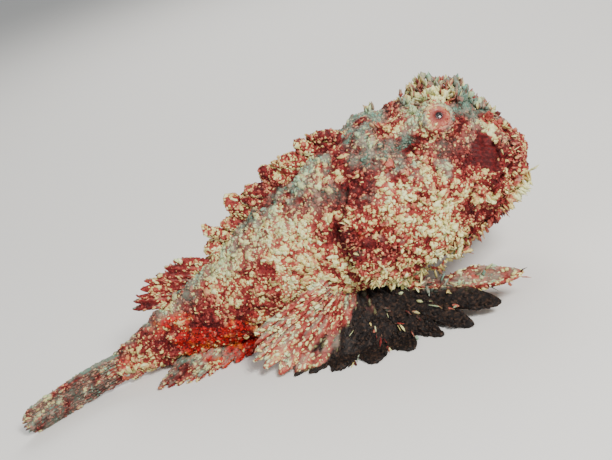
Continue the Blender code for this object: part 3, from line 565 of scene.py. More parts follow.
def makeSkin(material):
    shape = bmesh.new()
    along = skin["rings"][-1]
    bmesh.ops.create_uvsphere(shape, u_segments=skin["around"], v_segments=along, radius=1)
    unitPoints = pointsOf(shape)
    ring = np.arccos(np.clip(unitPoints[:, 2], -1, 1)) / math.pi * along
    turn = np.degrees(np.arctan2(unitPoints[:, 1], unitPoints[:, 0]))
    turn = np.where((ring < 0.5) | (ring > along - 0.5), 0, turn)
    x = np.interp(ring, skin["rings"], skin["places"])
    normal = outward(x, turn)
    points = skinPoint(x, turn, -skin["depth"], fine=True)
    front = np.sin(np.clip(ring / skin["rings"][1], 0, 1) * math.pi / 2)
    rear = np.sin(np.clip((along - ring) / (along - skin["rings"][-2]), 0, 1) * math.pi / 2)
    snoutMiddle = np.array(skin["snoutMiddle"])
    tailMiddle = plainPoint(float(body["tailEnd"]), 0) * (1, 1, 0) + (0, 0, skin["tailHeight"])
    points = snoutMiddle + (points - snoutMiddle) * front[:, None]
    points[:, 0] += skin["bulge"] * (1 - front**2)
    points = tailMiddle + (points - tailMiddle) * rear[:, None]
    bare, eyes = bareness(points)
    calm = np.clip(0.85 * bare + 0.8 * eyes, 0, 1)
    wrinkles = 0.35 * np.sin(2.2 * points[:, 2] + 1.2 * points[:, 0] + 4 * softNoise(points, 5, 6)) * bare
    lift = relief(points, calm) + mouthRelief(points) - skin["sunk"]["membrane"] * bare + wrinkles
    lift = lift - skin["sunk"]["eyeGroove"] * eyeGroove(points) - skin["sunk"]["dorsalCrease"] * dorsalCrease(points)
    points = shapeLids(points + normal * lift[:, None])
    setPoints(shape, points)
    bmesh.ops.recalc_face_normals(shape, faces=shape.faces[:])
    mesh = meshFrom("skin", shape)
    upward = outward(x, turn)[:, 2]
    tone, red, teal = markings(points, upward)
    above, there = mouthDistance(points)
    groove = ridge(above, 0, 1.3) * there
    lid = ridge(eyeDistance(points)[0], *lids["crest"])
    # painted shade: the skin under the coat is darkened so the gaps between tufts read as shaded crevices, and the
    # sunk mouth line is darkened
    tone = tone * 0.5 - 0.02 - 0.22 * bare + 0.35 * lid - 0.25 * groove
    storeMarks(mesh, tone, red * 0.45, teal * (1 - bare) * 0.5, 0.0)
    showPiece("skin", mesh, material, skin["nodes"], "skin")
    return surfaceOf(mesh, upward)


def surfaceOf(mesh, upward=0.0, dark=0.0, paler=0.0):
    # a finished mesh with the floats that its coat takes over
    count = len(mesh.vertices)
    floats = {"upward": upward, "dark": dark, "paler": paler}
    return {"mesh": mesh, "floats": {name: np.broadcast_to(numbers, count) for name, numbers in floats.items()}}


# folded sheets: gill covers and fins
def foldedSheet(across, along, place):
    # a grid folded at the free edge; place(u, v, face) gives its two faces, which meet at the root and sides
    shape = bmesh.new()
    bmesh.ops.create_grid(shape, x_segments=across, y_segments=2 * along, size=1)
    flat = pointsOf(shape)
    u = (flat[:, 0] + 1) / 2
    w = flat[:, 1] + 1
    v = np.where(w <= 1, w, 2 - w)
    setPoints(shape, place(u, v, np.where(w <= 1, 1.0, -1.0)))
    for name, shares in (("across", u), ("along", v)):
        layer = shape.verts.layers.float.new(name)
        for vertex, share in zip(shape.verts, shares):
            vertex[layer] = share
    bmesh.ops.remove_doubles(shape, verts=shape.verts[:], dist=0.02 * mm)
    bmesh.ops.recalc_face_normals(shape, faces=shape.faces[:])
    return meshFrom("sheet", shape)


def atEdges(u):
    return (u < 1e-6) | (u > 1 - 1e-6)


cover = {
    "turns": (42, 75, 100, 125, 143), "fronts": (-52, -48, -46, -42, -40), "rears": (-88, -103, -102, -92, -78),
    "across": 112, "along": 70, "outer": (-2.4, 4.4), "inner": (-2.6, 2.8),
    "ragged": (1.8, 4.0), "round": (0.93, 0.07),
}


def makeCover(side, material):
    def place(u, v, face):
        turn = between((cover["turns"][0], cover["turns"][-1]), u)
        start = np.interp(turn, cover["turns"], cover["fronts"])
        rear = np.interp(turn, cover["turns"], cover["rears"])
        height, size = cover["ragged"]
        ragged = height * (softNoise(stacked(turn * 0.7, 0.0, 0.0), size, 2) - 0.5)
        x = start + (rear + ragged - start) * v
        edge = np.sin(np.pi * np.clip(u, 0, 1)) ** 0.5
        outer = cover["outer"][0] + (cover["outer"][1] - cover["outer"][0]) * v**0.7 * edge
        inner = cover["inner"][0] + (cover["inner"][1] - cover["inner"][0]) * v**2 * edge
        rounded = roundedEnd(v, *cover["round"])
        half = np.maximum((outer - inner) / 2, 0) * rounded * np.where(atEdges(u) | (v < 1e-6), 0, 1)
        base = skinPoint(x, side * turn, (outer + inner) / 2 + half * face)
        bumps = relief(base, 0.0) * smooth(v, 0.0, 0.12) * edge * (face > 0) * rounded
        return base + bumps[:, None] * outward(x, side * turn)

    mesh = foldedSheet(cover["across"], cover["along"], place)
    name = sideNames[side]
    return finishSheet(mesh, f"gillCover_{name}", material, (f"gill_cover_{name}",), "gill_flap")


def plainMarks(u, v):
    return 0 * u, 0 * u


def rayMarks(rays, paler):
    # paler along the rays, darker between them
    def marks(u, v):
        return paler - 0.11 * np.cos(2 * np.pi * u * rays), 0 * u

    return marks


def fingerMarks(u, v):
    # the front rays of the pectoral fins are bare and take the near-black of painted shade, for the shadow under the
    # head; the foremost of them pale
    ragged = softNoise(np.stack([u * 60, v * 12, 0 * u], axis=-1), 2.0, 3) - 0.5
    dark = smooth(u + 0.26 * (v - 0.5) + 0.22 * ragged, 0.52, 0.60) * (1 - smooth(u, 0.925, 0.94))
    edge = 0.35 * smooth(v, 0.90, 1.0) * smooth(u, 0.45, 0.6)
    return edge + 0.05 - 0.11 * np.cos(2 * np.pi * u * pectoral["rays"]) + 0.12 * smooth(u, 0.93, 0.95), dark


def finishSheet(mesh, name, material, nodes, slot, marks=plainMarks, toneShare=0.5):
    upward = vertexNormals(mesh)[:, 2] * 0.9
    tone, red, teal = markings(arraysOf(mesh)[0], upward)
    paler, dark = marks(floatsOf(mesh, "across"), floatsOf(mesh, "along"))
    # painted shade: as on the skin, the tone is scaled down by toneShare so the gaps between tufts read as shaded
    # crevices
    storeMarks(mesh, (tone + paler) * toneShare, red * 0.7, teal * 0.5, dark)
    showPiece(name, mesh, material, nodes, slot)
    return surfaceOf(mesh, upward, dark, paler)


pectoral = {
    # share of the root, root x, root turn, first and last direction, length
    "rows": np.array((
        (0.00, -118, 96, -0.90, 0.35, -0.25, -0.95, 0.05, -0.30, 50),
        (0.25, -118, 113, -0.82, 0.45, -0.38, -0.95, 0.15, -0.30, 60),
        (0.50, -112, 130, -0.55, 0.65, -0.55, -0.55, 0.55, -0.50, 54),
        (0.75, -102, 143, 0.30, 0.65, -0.60, 0.60, 0.65, -0.25, 56),
        (1.00, -90, 154, 0.78, 0.50, -0.30, 0.92, 0.18, 0.30, 84),
    )),
    "rays": 15, "perRay": 12, "along": 60, "sunk": 5.0, "ray": (4.4, 2.4), "web": (1.8, 0.7), "notch": 0.86,
    "fingerNotch": 0.6,  # at the front end, where the rays are free fingers
    "rough": 0.5, "seed": 0,
}
pelvic = {
    "rows": np.array((
        (0.00, -104, 158, -0.60, 0.40, -0.70, -0.95, 0.30, -0.10, 36),
        (0.50, -99, 163, -0.35, 0.50, -0.80, -0.75, 0.65, -0.10, 42),
        (1.00, -94, 168, -0.10, 0.55, -0.85, -0.40, 0.90, -0.10, 38),
    )),
    "rays": 6, "perRay": 10, "along": 40, "sunk": 4.0, "ray": (4.2, 2.0), "web": (2.0, 0.8), "notch": 0.85,
    "rough": 0.5, "seed": 0,
}


def raynessOf(table, u):
    # 1 on a ray, 0 between two
    return (1 - np.cos(2 * np.pi * u * table["rays"])) / 2


def rayedPath(table, rootOf, firstWay, lastWay, lengthOf, steps=24):
    # the same bent columns as the solids, read at any u and v
    def path(u, v):
        rayness = raynessOf(table, u)
        fingers = np.maximum(0, 2 * u - 1)
        notch = between((table["notch"], table.get("fingerNotch", table["notch"])), fingers)
        length = lengthOf(u) * (notch + (1 - notch) * rayness**0.6)
        thick = between(table["web"], v)
        thick = thick + (between(table["ray"], v) - thick) * rayness**1.5
        point = rootOf(u)
        first, last = firstWay(u), lastWay(u)
        for k in range(steps):
            t = k / (steps - 1)
            way = unit(first * (1 - t) + last * t)
            share = np.clip(v * steps - k, 0, 1)
            point = point + way * (length / steps * share)[:, None]
            low = between(table["ray"], t) / 2 - 0.4
            point[:, 2] = np.maximum(point[:, 2], np.minimum(low, 2.0))
        return point, thick

    return path


def sheetPlace(path, rough, seed):
    # gives the path its thickness, with rounded free edges and a knobbly face
    def place(u, v, face):
        step = 0.004
        point, thick = path(u, v)
        across = path(np.clip(u + step, 0, 1), v)[0] - path(np.clip(u - step, 0, 1), v)[0]
        along = path(u, np.clip(v + step, 0, 1))[0] - path(u, np.clip(v - step, 0, 1))[0]
        normal = unit(np.cross(across, along))
        tip = roundedEnd(v, 0.95, 0.05)
        half = np.where(atEdges(u) | atEdges(v), 0, thick / 2 * tip)
        bumps = rough * (lumpNoise(point, 3.0, 5 + seed) - 0.45) * tip * np.where(half > 0, 1, 0)
        wave = 0.8 * (softNoise(point, 9, seed) - 0.5) * v
        return point + normal * (face * (half + bumps) + wave)[:, None]

    return place


def makeFin(name, node, table, path, material, marks=plainMarks):
    place = sheetPlace(path, table["rough"], table["seed"])
    mesh = foldedSheet(table["rays"] * table["perRay"], table["along"], place)
    return finishSheet(mesh, name, material, (node,), "fin", marks)


def makePairedFin(kind, table, side, material, marks):
    rows = table["rows"]
    mirror = np.array((1, side, 1))

    def column(u, k):
        return np.interp(u, rows[:, 0], rows[:, k])

    def wayFrom(start):
        return lambda u: stacked(*(column(u, start + k) for k in range(3))) * mirror

    def rootOf(u):
        return skinPoint(column(u, 1), side * column(u, 2), -table["sunk"])

    path = rayedPath(table, rootOf, wayFrom(3), wayFrom(6), lambda u: column(u, 9))
    name = sideNames[side]
    return makeFin(f"{kind}_{name}", f"{kind}_fin_{name}", table, path, material, marks)


spinyDorsal = {"span": (-86, -178), "rays": 12, "tall": (11, 14, 13, 10), "shortShare": 0.72,
               "lean": 50, "sway": 3, "thick": (9.0, 7.0), "web": (4.4, 2.4), "notch": 0.45,
               "blunt": 0.5, "sunk": 5.0, "perRay": 18, "along": 26, "rough": 0.9, "seed": 1}


def makeSpinyDorsal(material):
    table = spinyDorsal

    def path(u, v):
        number = np.minimum(np.floor(u * table["rays"]), table["rays"] - 1)
        spine = np.clip(raynessOf(table, u), 0, 1) ** table["blunt"]
        tall = np.interp(u, np.linspace(0, 1, 4), table["tall"]) * np.where(number % 2 == 1, table["shortShare"], 1)
        tall = tall * (0.9 + 0.25 * np.sin(number * 2.7))
        height = tall * (table["notch"] + (1 - table["notch"]) * spine)
        lean = np.radians(table["lean"] + 12 * np.sin(2.1 * (u * table["rays"])))
        way = stacked(-np.sin(lean), 0.0, np.cos(lean))
        base = skinPoint(between(table["span"], u), 0.0, -table["sunk"])
        point = base + way * ((height + table["sunk"]) * v)[:, None]
        point[:, 1] += table["sway"] * np.sin(1.7 * number) * spine * v * v
        club = 1 + 0.15 * np.sin(np.pi * np.clip(v * 1.1, 0, 1))
        web = between(table["web"], v)
        return point, web + (between(table["thick"], v) * club - web) * spine

    return makeFin("spinyDorsal", "dorsal_fin_spiny", table, path, material)


softDorsal = {"span": (-180.5, -214), "rays": 8, "long": (15, 24, 17), "lean": 62, "perRay": 12, "ray": (3.4, 1.6),
              "web": (1.6, 0.7), "notch": 0.80, "along": 40, "sunk": 4.0, "rough": 0.5, "seed": 2, "paler": -0.02}
anal = {"span": (-160, -214), "rays": 9, "long": (24, 36, 30), "height": 5.5, "perRay": 12, "ray": (4.2, 1.8),
        "web": (2.0, 0.8), "notch": 0.82, "along": 40, "rough": 0.5, "seed": 3, "paler": -0.05}
caudal = {"root": -243, "rootHeights": (3.5, 21), "tipHeights": (-0.4, 17), "long": 63, "bend": 9.0, "rays": 10,
          "perRay": 12, "ray": (4.8, 1.8), "web": (2.4, 0.8), "notch": 0.90, "along": 56, "rough": 0.5, "seed": 4,
          "paler": -0.18}


def makeSoftDorsal(material):
    table = softDorsal

    def rootOf(u):
        return skinPoint(between(table["span"], u), 0.0, -table["sunk"])

    def way(u):
        lean = np.radians(table["lean"] + 12 * u)
        return unit(stacked(-np.sin(lean), -0.12, np.cos(lean)))

    def lengthOf(u):
        return np.interp(u, (0, 0.5, 1), table["long"]) + table["sunk"]

    path = rayedPath(table, rootOf, way, way, lengthOf)
    return makeFin("softDorsal", "dorsal_fin_soft", table, path, material, rayMarks(table["rays"], table["paler"]))


def makeAnalFin(material):
    table = anal

    def rootOf(u):
        x = between(table["span"], u)
        return stacked(x, sway(x) - 3, table["height"])

    def firstWay(u):
        return stacked(-0.35 - 0.25 * u, -0.9, -0.2)

    def lastWay(u):
        return stacked(-0.6 + 0 * u, -0.75, -0.1)

    path = rayedPath(table, rootOf, firstWay, lastWay, lambda u: np.interp(u, (0, 0.5, 1), table["long"]))
    return makeFin("analFin", "anal_fin", table, path, material, rayMarks(table["rays"], table["paler"]))


def makeCaudalFin(material):
    table = caudal
    slope = 2 * body["sway"] * (body["swayStart"] - table["root"]) / body["swayLength"] ** 2
    rootSway = float(sway(np.array(float(table["root"]))))

    def path(u, v):
        rayness = raynessOf(table, u)
        length = table["long"] * (table["notch"] + (1 - table["notch"]) * rayness) * (1 - 0.10 * (2 * u - 1) ** 2)
        wave = 1.3 * np.sin(9 * u + 2 * v) * v
        y = rootSway - slope * length * v - table["bend"] * v * v + wave
        z = between((between(table["rootHeights"], u), between(table["tipHeights"], u)), v)
        web = between(table["web"], v)
        return stacked(table["root"] - length * v, y, z), web + (between(table["ray"], v) - web) * rayness

    return makeFin("caudalFin", "caudal_fin", table, path, material, rayMarks(table["rays"], table["paler"]))


# eyes
def makeEye(side):
    shape = bmesh.new()
    bmesh.ops.create_uvsphere(shape, u_segments=64, v_segments=48, radius=eye["radius"])
    # a slight bulge over the pupil
    for vertex in shape.verts:
        vertex.co.z += max(0.0, vertex.co.z / eye["radius"] - 0.9) * 5
    look = Vector((eye["look"][0], side * eye["look"][1], eye["look"][2])).normalized()
    turn = Vector((0, 0, 1)).rotation_difference(look).to_matrix()
    bmesh.ops.transform(shape, matrix=turn.to_4x4(), verts=shape.verts[:])
    setPoints(shape, pointsOf(shape) + (eye["x"], side * eye["y"], eye["z"]))
    name = f"eye_{sideNames[side]}"
    mesh = meshFrom(name, shape)
    showPiece(f"{name}_ball", mesh, eyeFinish(side), (name,), "eye")
    return surfaceOf(mesh, paler=-0.05)


# small tubes: nostrils and the ring beside the chin; rise is how far they stand out of the skin
tubes = {
    "nostril": {"x": -13.0, "turn": 28.0, "radius": 1.6, "rise": 1.4, "wall": 0.9},
    "chinRing": {"x": -7.0, "turn": 104.0, "radius": 2.2, "rise": 0.9, "wall": 1.1},
}
tubeMesh = {"around": 36, "along": 12, "sunk": 2.2, "round": (0.85, 0.15)}


def makeTube(kind, side, material):
    tube = tubes[kind]
    base = skinPoint(tube["x"], side * tube["turn"], -tubeMesh["sunk"])
    normal = unit(outward(tube["x"], side * tube["turn"]))
    ahead = unit(np.cross(normal, (0.0, 0.0, 1.0)))
    other = np.cross(normal, ahead)

    def place(u, v, face):
        angle = 2 * np.pi * u
        ringWay = np.cos(angle)[:, None] * ahead + np.sin(angle)[:, None] * other
        half = tube["wall"] / 2 * roundedEnd(v, *tubeMesh["round"]) * (v > 1e-6)
        reach = tube["radius"] * (1.15 - 0.25 * v) + 0.25 * np.sin(3 * angle + 1) + half * face
        high = (tubeMesh["sunk"] + tube["rise"]) * v + 0.2 * np.sin(5 * angle) * v
        return base + normal * high[:, None] + ringWay * reach[:, None]

    mesh = foldedSheet(tubeMesh["around"], tubeMesh["along"], place)
    finishSheet(mesh, f"{kind}_{sideNames[side]}", material, ("head",), "skin", toneShare=0.8)


# the coat: crumbs, ragged plates and flaps set on the surfaces
def drawnTemplate(shape, shapePoints):
    points = shapePoints(pointsOf(shape))
    bmesh.ops.triangulate(shape, faces=shape.faces[:])
    faces = np.array([[v.index for v in face.verts] for face in shape.faces])
    shape.free()
    return points, faces


def crumbTemplate(draw):
    shape = bmesh.new()
    bmesh.ops.create_icosphere(shape, subdivisions=1, radius=1)
    return drawnTemplate(shape, lambda points: points * (1 + 0.6 * (draw.random((len(points), 1)) - 0.5)))


def plateTemplate(draw):
    # a thin ragged plate on a narrow foot
    shape = bmesh.new()
    bmesh.ops.create_uvsphere(shape, u_segments=8, v_segments=4, radius=1)

    def shaped(points):
        width = np.interp(points[:, 2], (-0.8, -0.3, 0.2, 0.8), (0.5, 0.95, 1.05, 0.9))
        angle = np.arctan2(points[:, 1], points[:, 0])
        lobes = 1 + 0.3 * np.sin(3 * angle + draw.uniform(0, 6)) + 0.45 * (draw.random(len(points)) - 0.5)
        points[:, :2] *= (width * lobes)[:, None]
        points[:, 2] += 0.5 * (draw.random(len(points)) - 0.5)
        return points

    return drawnTemplate(shape, shaped)


def flapTemplate(draw):
    # a thin leaf along +z, one long, bent, with uneven lobes down both edges
    shape = bmesh.new()
    bmesh.ops.create_uvsphere(shape, u_segments=6, v_segments=5, radius=1)

    def shaped(points):
        height = (points[:, 2] + 1) / 2
        width = np.interp(height, (0, 0.35, 0.7, 1), (0.50, 0.60, 0.56, 0.30))
        lobes = 1 + 1.5 * (draw.random(len(points)) - 0.5) * (np.abs(points[:, 0]) > 0.4)
        points[:, 0] = points[:, 0] * width * lobes + draw.uniform(-0.35, 0.35) * height**2
        points[:, 1] = points[:, 1] * width * 0.32 + draw.uniform(-0.4, 0.4) * height**2
        points[:, 2] = height + 0.25 * (draw.random(len(points)) - 0.5) * (height > 0.2)
        return points

    return drawnTemplate(shape, shaped)


crownHeight = 114.6  # no tuft stands higher
templateSeeds = range(9)
uvReach = 0.0015  # how far a tuft spreads on its unwrap
templates = {name: [make(np.random.default_rng(seed)) for seed in templateSeeds] for name, make in
             (("crumb", crumbTemplate), ("plate", plateTemplate), ("flap", flapTemplate))}


def samplesOn(surface, perSquare, draw, allow):
    # random places on a surface, so many to the square millimetre, kept where allow says
    points, triangles = arraysOf(surface["mesh"])
    corners = points[triangles]
    area = np.linalg.norm(np.cross(corners[:, 1] - corners[:, 0], corners[:, 2] - corners[:, 0]), axis=1) / 2
    count = int(area.sum() * perSquare)
    chosen = draw.choice(len(triangles), count, p=area / area.sum())
    a, b = draw.random((2, count))
    flip = a + b > 1
    a, b = np.where(flip, 1 - a, a), np.where(flip, 1 - b, b)
    weights = np.stack([1 - a - b, a, b], axis=-1)

    def spread(values):
        return (values[triangles[chosen]] * weights.reshape(weights.shape + (1,) * (values.ndim - 1))).sum(axis=1)

    places = {"roots": spread(points), "normals": unit(spread(vertexNormals(surface["mesh"])))}
    places.update({name: spread(numbers) for name, numbers in surface["floats"].items()})
    keep = draw.random(count) < allow(places["roots"])
    return {name: values[keep] for name, values in places.items()}


def joinTufts(name, kind, places, sizes, ways, piece, draw, spread=0.5, lighten=0.0, tip=0.12):
    # each tuft is a turned and scaled template; ways point from root to tip
    material, nodes, slot = piece
    count = len(places["roots"])
    kinds = draw.integers(0, len(templates[kind]), count)
    first = places["along"] if "along" in places else draw.normal(size=(count, 3))
    first = acrossTo(ways, first)
    second = np.cross(ways, first)
    tone, red, teal = markings(places["roots"], places["upward"])
    tone = tone + (draw.random(count) - 0.5) * spread + places["paler"] + lighten
    red = red * (draw.random(count) < 0.55)
    teal = teal * draw.uniform(0.4, 1.0, count)
    marks = np.stack([tone, red, teal, places["dark"]], axis=-1)
    rootUv = tuftUv(places["roots"])
    joined = {"points": [], "faces": [], "uv": [], "marks": []}
    start = 0
    for number, (shape, faces) in enumerate(templates[kind]):
        mine = np.where(kinds == number)[0]
        local = shape[None] * sizes[mine][:, None, :]
        points = places["roots"][mine][:, None, :]
        for k, way in enumerate((first, second, ways)):
            points = points + local[..., k:k + 1] * way[mine][:, None, :]
        points[..., 2] = np.clip(points[..., 2], floorClearance, crownHeight)
        offsets = start + np.arange(len(mine)) * len(shape)
        perVertex = np.repeat(marks[mine][:, None, :], len(shape), axis=1)
        # painted shade and light: each tuft's tone is lowered at its base and raised towards its tip, by tip
        perVertex[..., 0] += tip * shape[None, :, 2]
        joined["points"].append(points.reshape(-1, 3))
        joined["faces"].append((faces[None] + offsets[:, None, None]).reshape(-1, 3))
        uv = rootUv[mine][:, None, :] + shape[None, :, :2] / np.abs(shape).max() * uvReach
        joined["uv"].append(uv.reshape(-1, 2))
        joined["marks"].append(perVertex.reshape(-1, 4))
        start += len(mine) * len(shape)
    points, faces, uv, marks = (np.concatenate(values) for values in joined.values())
    mesh = bpy.data.meshes.new(name)
    mesh.vertices.add(len(points))
    mesh.vertices.foreach_set("co", (points * mm + shift).astype(np.float32).ravel())
    mesh.loops.add(faces.size)
    mesh.loops.foreach_set("vertex_index", faces.ravel().astype(np.int32))
    mesh.polygons.add(len(faces))
    mesh.polygons.foreach_set("loop_start", np.arange(0, faces.size, 3, dtype=np.int32))
    mesh.update(calc_edges=True)
    layer = mesh.uv_layers.new(name="OFBake")
    layer.data.foreach_set("uv", uv[faces.ravel()].astype(np.float32).ravel())
    storeMarks(mesh, *marks.T)
    showPiece(name, mesh, material, nodes, slot, soft=kind == "flap")
    print("coat", name, count, "tufts", len(faces), "triangles")


def acrossTo(ways, vectors):
    # the part of each vector that lies square to its way
    return unit(vectors - ways * (vectors * ways).sum(1, keepdims=True))


def tuftUv(roots):
    # where a root lies on an unwrap of the body: its length and its turn
    x = roots[:, 0]
    clipped = np.clip(x, body["tailEnd"], body["snoutEnd"])
    top, bottom = alongBody(clipped, 1), alongBody(clipped, 2)
    middle = bottom + body["widestShare"] * (top - bottom)
    turn = np.arctan2(roots[:, 1] - sway(clipped), roots[:, 2] - middle)
    return np.stack([(x + 320) / 340, (turn / math.pi + 1) / 2], axis=-1) * 0.96 + 0.02


def crumbCoat(name, surface, piece, draw, perSquare, size, allow=None, kind="crumb", flat=0.7, streamFrom=None,
              **tones):
    places = samplesOn(surface, perSquare, draw, allow or crumbShare)
    count = len(places["roots"])
    clump = clumps(places["roots"])
    size = draw.uniform(*size, count) * (0.62 + 0.6 * clump)
    sizes = size[:, None] * draw.uniform(0.7, 1.4, (count, 3)) * (1, 1, flat)
    ways = unit(places["normals"] + 0.4 * draw.normal(size=(count, 3)))
    if streamFrom is not None:
        # drawn out along the rays of a fin
        places["along"] = unit(places["roots"] - np.array(streamFrom)) + 0.25 * draw.normal(size=(count, 3))
        sizes = sizes * (1.45, 0.8, 0.9)
    places["roots"] = places["roots"] + places["normals"] * (sizes[:, 2] * 0.2 + 0.5 * (clump - 0.6))[:, None]
    joinTufts(name, kind, places, sizes, ways, piece, draw, **tones)


# how thickly each kind of tuft stands at a place
def bareShare(points):
    bare, eyes = bareness(points)
    above, there = mouthDistance(points)
    return np.clip(bare + 0.9 * eyes + ridge(above, 0, 1.4) * there, 0, 1)


def crumbShare(points):
    return (1 - bareShare(points)) * (0.55 + 0.45 * clumps(points))


def plateShare(points):
    tone = markings(points, np.zeros(len(points)))[0]
    return (1 - bareShare(points)) * smooth(tone, 0.38, 0.75)


def flapShare(points):
    return (1 - bareShare(points)) * smooth(softNoise(points, 9, 12), 0.35, 0.6)


def eyeRimShare(points):
    radius = eyeDistance(points)[0]
    return smooth(radius, 3.3, 5.6) * (radius < 20)


def onlyWhere(share, low, high, side=0):
    # keeps a share to a stretch of x, and to one side if a side is given
    def kept(points):
        inside = (points[:, 0] > low) & (points[:, 0] <= high)
        if side:
            inside = inside & (points[:, 1] * side >= 0)
        return share(points) * inside

    return kept


def flapCoat(name, surface, piece, draw, perSquare, long, wide, out=0.6, **tones):
    places = samplesOn(surface, perSquare, draw, flapShare)
    count = len(places["roots"])
    normals = places["normals"]
    width = draw.uniform(*wide, count)
    sizes = np.stack([width, width, draw.uniform(*long, count)], axis=-1)
    backwards = acrossTo(normals, np.tile((-1.0, 0.0, -0.25), (count, 1)))
    ways = unit(backwards * (1 - out) + normals * out + 0.35 * draw.normal(size=(count, 3)))
    places["roots"] = places["roots"] - normals * 0.4
    joinTufts(name, "flap", places, sizes, ways, piece, draw, **tones)


# rows of strings at set places: x, turn and length along the row
rows = {
    "coverFringe": {"path": ((64, -95), (78, -100), (100, -99), (124, -89), (141, -75), (141, -60), (141, -45)),
                    "count": 260, "long": (2.0, 7.5), "wide": (1.1, 2.7), "lift": 2.0, "away": (95, -66)},
    "cheekFringe": {"path": ((141, -50), (136, -42), (130, -32), (124, -22), (119, -12), (117, -5)),
                    "count": 150, "long": (2.5, 7.5), "wide": (1.0, 2.4), "lift": -0.6, "away": (70, -34)},
    "innerBeard": {"path": ((150, -44), (152, -34), (150, -22), (145, -12), (140, -6)),
                   "count": 110, "long": (3.0, 8.5), "wide": (1.0, 2.4), "lift": -0.8, "away": (60, -34)},
    "middleBeard": {"path": ((170, -42), (172, -28), (168, -14), (165, -6)),
                    "count": 50, "long": (3.0, 7.0), "wide": (1.2, 2.4), "lift": -0.8, "away": (60, -34)},
    "lipRow": {"path": ((40, -3), (70, -4), (95, -10), (108, -20)),
               "count": 30, "long": (2.0, 4.0), "wide": (1.0, 1.8), "lift": -0.8, "away": (60, -34)},
}
tassels = (
    # x, turn, length, strings in the cluster
    (-33, 14, 5.6, 14), (-44, 14, 5.4, 14), (-24, 16, 5.8, 13), (-6, 30, 4.0, 6), (-14, 62, 4.5, 6),
    (-24, 97, 4.5, 6), (-33, 92, 4.5, 6), (-50, 22, 4.5, 6), (-38, 8, 5.0, 11), (-2, 112, 6.5, 7), (-70, 18, 4.0, 6),
    (-12, 14, 3.5, 6), (-29, 10, 5.5, 11), (-18, 18, 4.5, 9), (-50, 8, 4.5, 9),
    (-28, 18, 5.0, 10), (-39, 16, 5.0, 10),
)
tasselSpread = {"x": 1.9, "turn": 2.6, "sunk": 1.6, "wide": (1.5, 3.0)}
fingers = {"between": 60, "foremost": 110, "from": (-100, 18, 20), "wide": (0.7, 1.7), "long": (2.5, 7.5)}


def stringRow(kind, side, draw):
    row = rows[kind]
    path = np.array(row["path"], float)
    u = np.sort(draw.random(row["count"])) * (len(path) - 1)
    turn = np.interp(u, range(len(path)), path[:, 0]) + draw.normal(size=len(u)) * 1.6
    x = np.interp(u, range(len(path)), path[:, 1]) + draw.normal(size=len(u)) * 0.8
    roots = skinPoint(x, side * turn, row["lift"])
    centre = skinPoint(float(row["away"][1]), float(side * row["away"][0]))
    normals = outward(x, side * turn)
    away = acrossTo(normals, unit(roots - centre))
    ways = unit(away + 0.35 * normals + 0.35 * draw.normal(size=roots.shape))
    length = draw.uniform(*row["long"], len(u)) * (0.6 + 0.55 * np.abs(np.sin(2.3 * u * 4)))
    width = draw.uniform(*row["wide"], len(u))
    return roots - ways * 0.8, ways, np.stack([width, width, length], axis=-1), normals


def fingerStrings(surface, side, draw):
    # pale and red strings in the notches between the front rays, and along the foremost of them
    points = arraysOf(surface["mesh"])[0]
    u, v = (floatsOf(surface["mesh"], name) for name in ("across", "along"))
    notch = np.cos(2 * np.pi * u * pectoral["rays"]) > 0.8
    inNotches = draw.choice(np.where(notch & (u > 0.5) & (u < 0.93) & (v > 0.3))[0], fingers["between"])
    foremost = draw.choice(np.where((u > 0.93) & (u < 0.99) & (v > 0.1))[0], fingers["foremost"])
    chosen = np.concatenate([inNotches, foremost])
    roots = points[chosen]
    normals = vertexNormals(surface["mesh"])[chosen]
    rough = np.repeat((0.22, 0.7), (fingers["between"], fingers["foremost"]))[:, None]
    away = unit(roots - np.array(fingers["from"]) * (1, side, 1))
    ways = unit(away + 0.25 * normals + rough * draw.normal(size=roots.shape))
    width = draw.uniform(*fingers["wide"], len(chosen))
    return roots, ways, np.stack([width, width, draw.uniform(*fingers["long"], len(chosen))], axis=-1), normals


def tasselStrings(side, draw):
    parts = []
    for x, turn, length, count in tassels:
        spreadX = x + draw.normal(size=count) * tasselSpread["x"]
        spreadTurn = turn + draw.normal(size=count) * tasselSpread["turn"]
        normals = outward(spreadX, side * spreadTurn)
        roots = skinPoint(spreadX, side * spreadTurn, -tasselSpread["sunk"])
        ways = unit(normals + (0, 0, 0.2) + 0.42 * draw.normal(size=roots.shape))
        width = draw.uniform(*tasselSpread["wide"], count)
        sizes = np.stack([width, width, length * draw.uniform(0.55, 1.0, count) + 1], axis=-1)
        parts.append((roots, ways, sizes, normals))
    return [np.concatenate(columns) for columns in zip(*parts)]


def placedStrings(name, strings, piece, draw, lighten, spread=0.7):
    roots, ways, sizes, normals = strings
    still = np.zeros(len(roots))
    places = {"roots": roots, "normals": normals, "upward": normals[:, 2], "dark": still, "paler": still}
    joinTufts(name, "flap", places, sizes, ways, piece, draw, spread, lighten)


# stage, light and camera
stage = {"floorRadius": 4.0, "floor": (0.78, 0.78, 0.77, 1), "sky": (0.94, 0.96, 0.97, 1), "skyStrength": 0.40,
         "light": (1.0, 0.96, 0.90), "lightAim": (0, 0, 0.05)}
# place, size and power of each light
lights = {
    "keyLight": ((0.50, -0.70, 0.80), 0.30, 19.0), "fillLight": ((-0.9, -0.6, 0.6), 0.9, 4.5),
    "rimLight": ((0.1, 0.9, 0.8), 0.8, 9.0),
}
camera = {"azimuth": 4.05, "elevation": 24.0, "roll": 19.5, "distance": 0.557, "aim": (0.027, 0.0, 0.053),
          "focal": 1000.0, "width": 612.0}


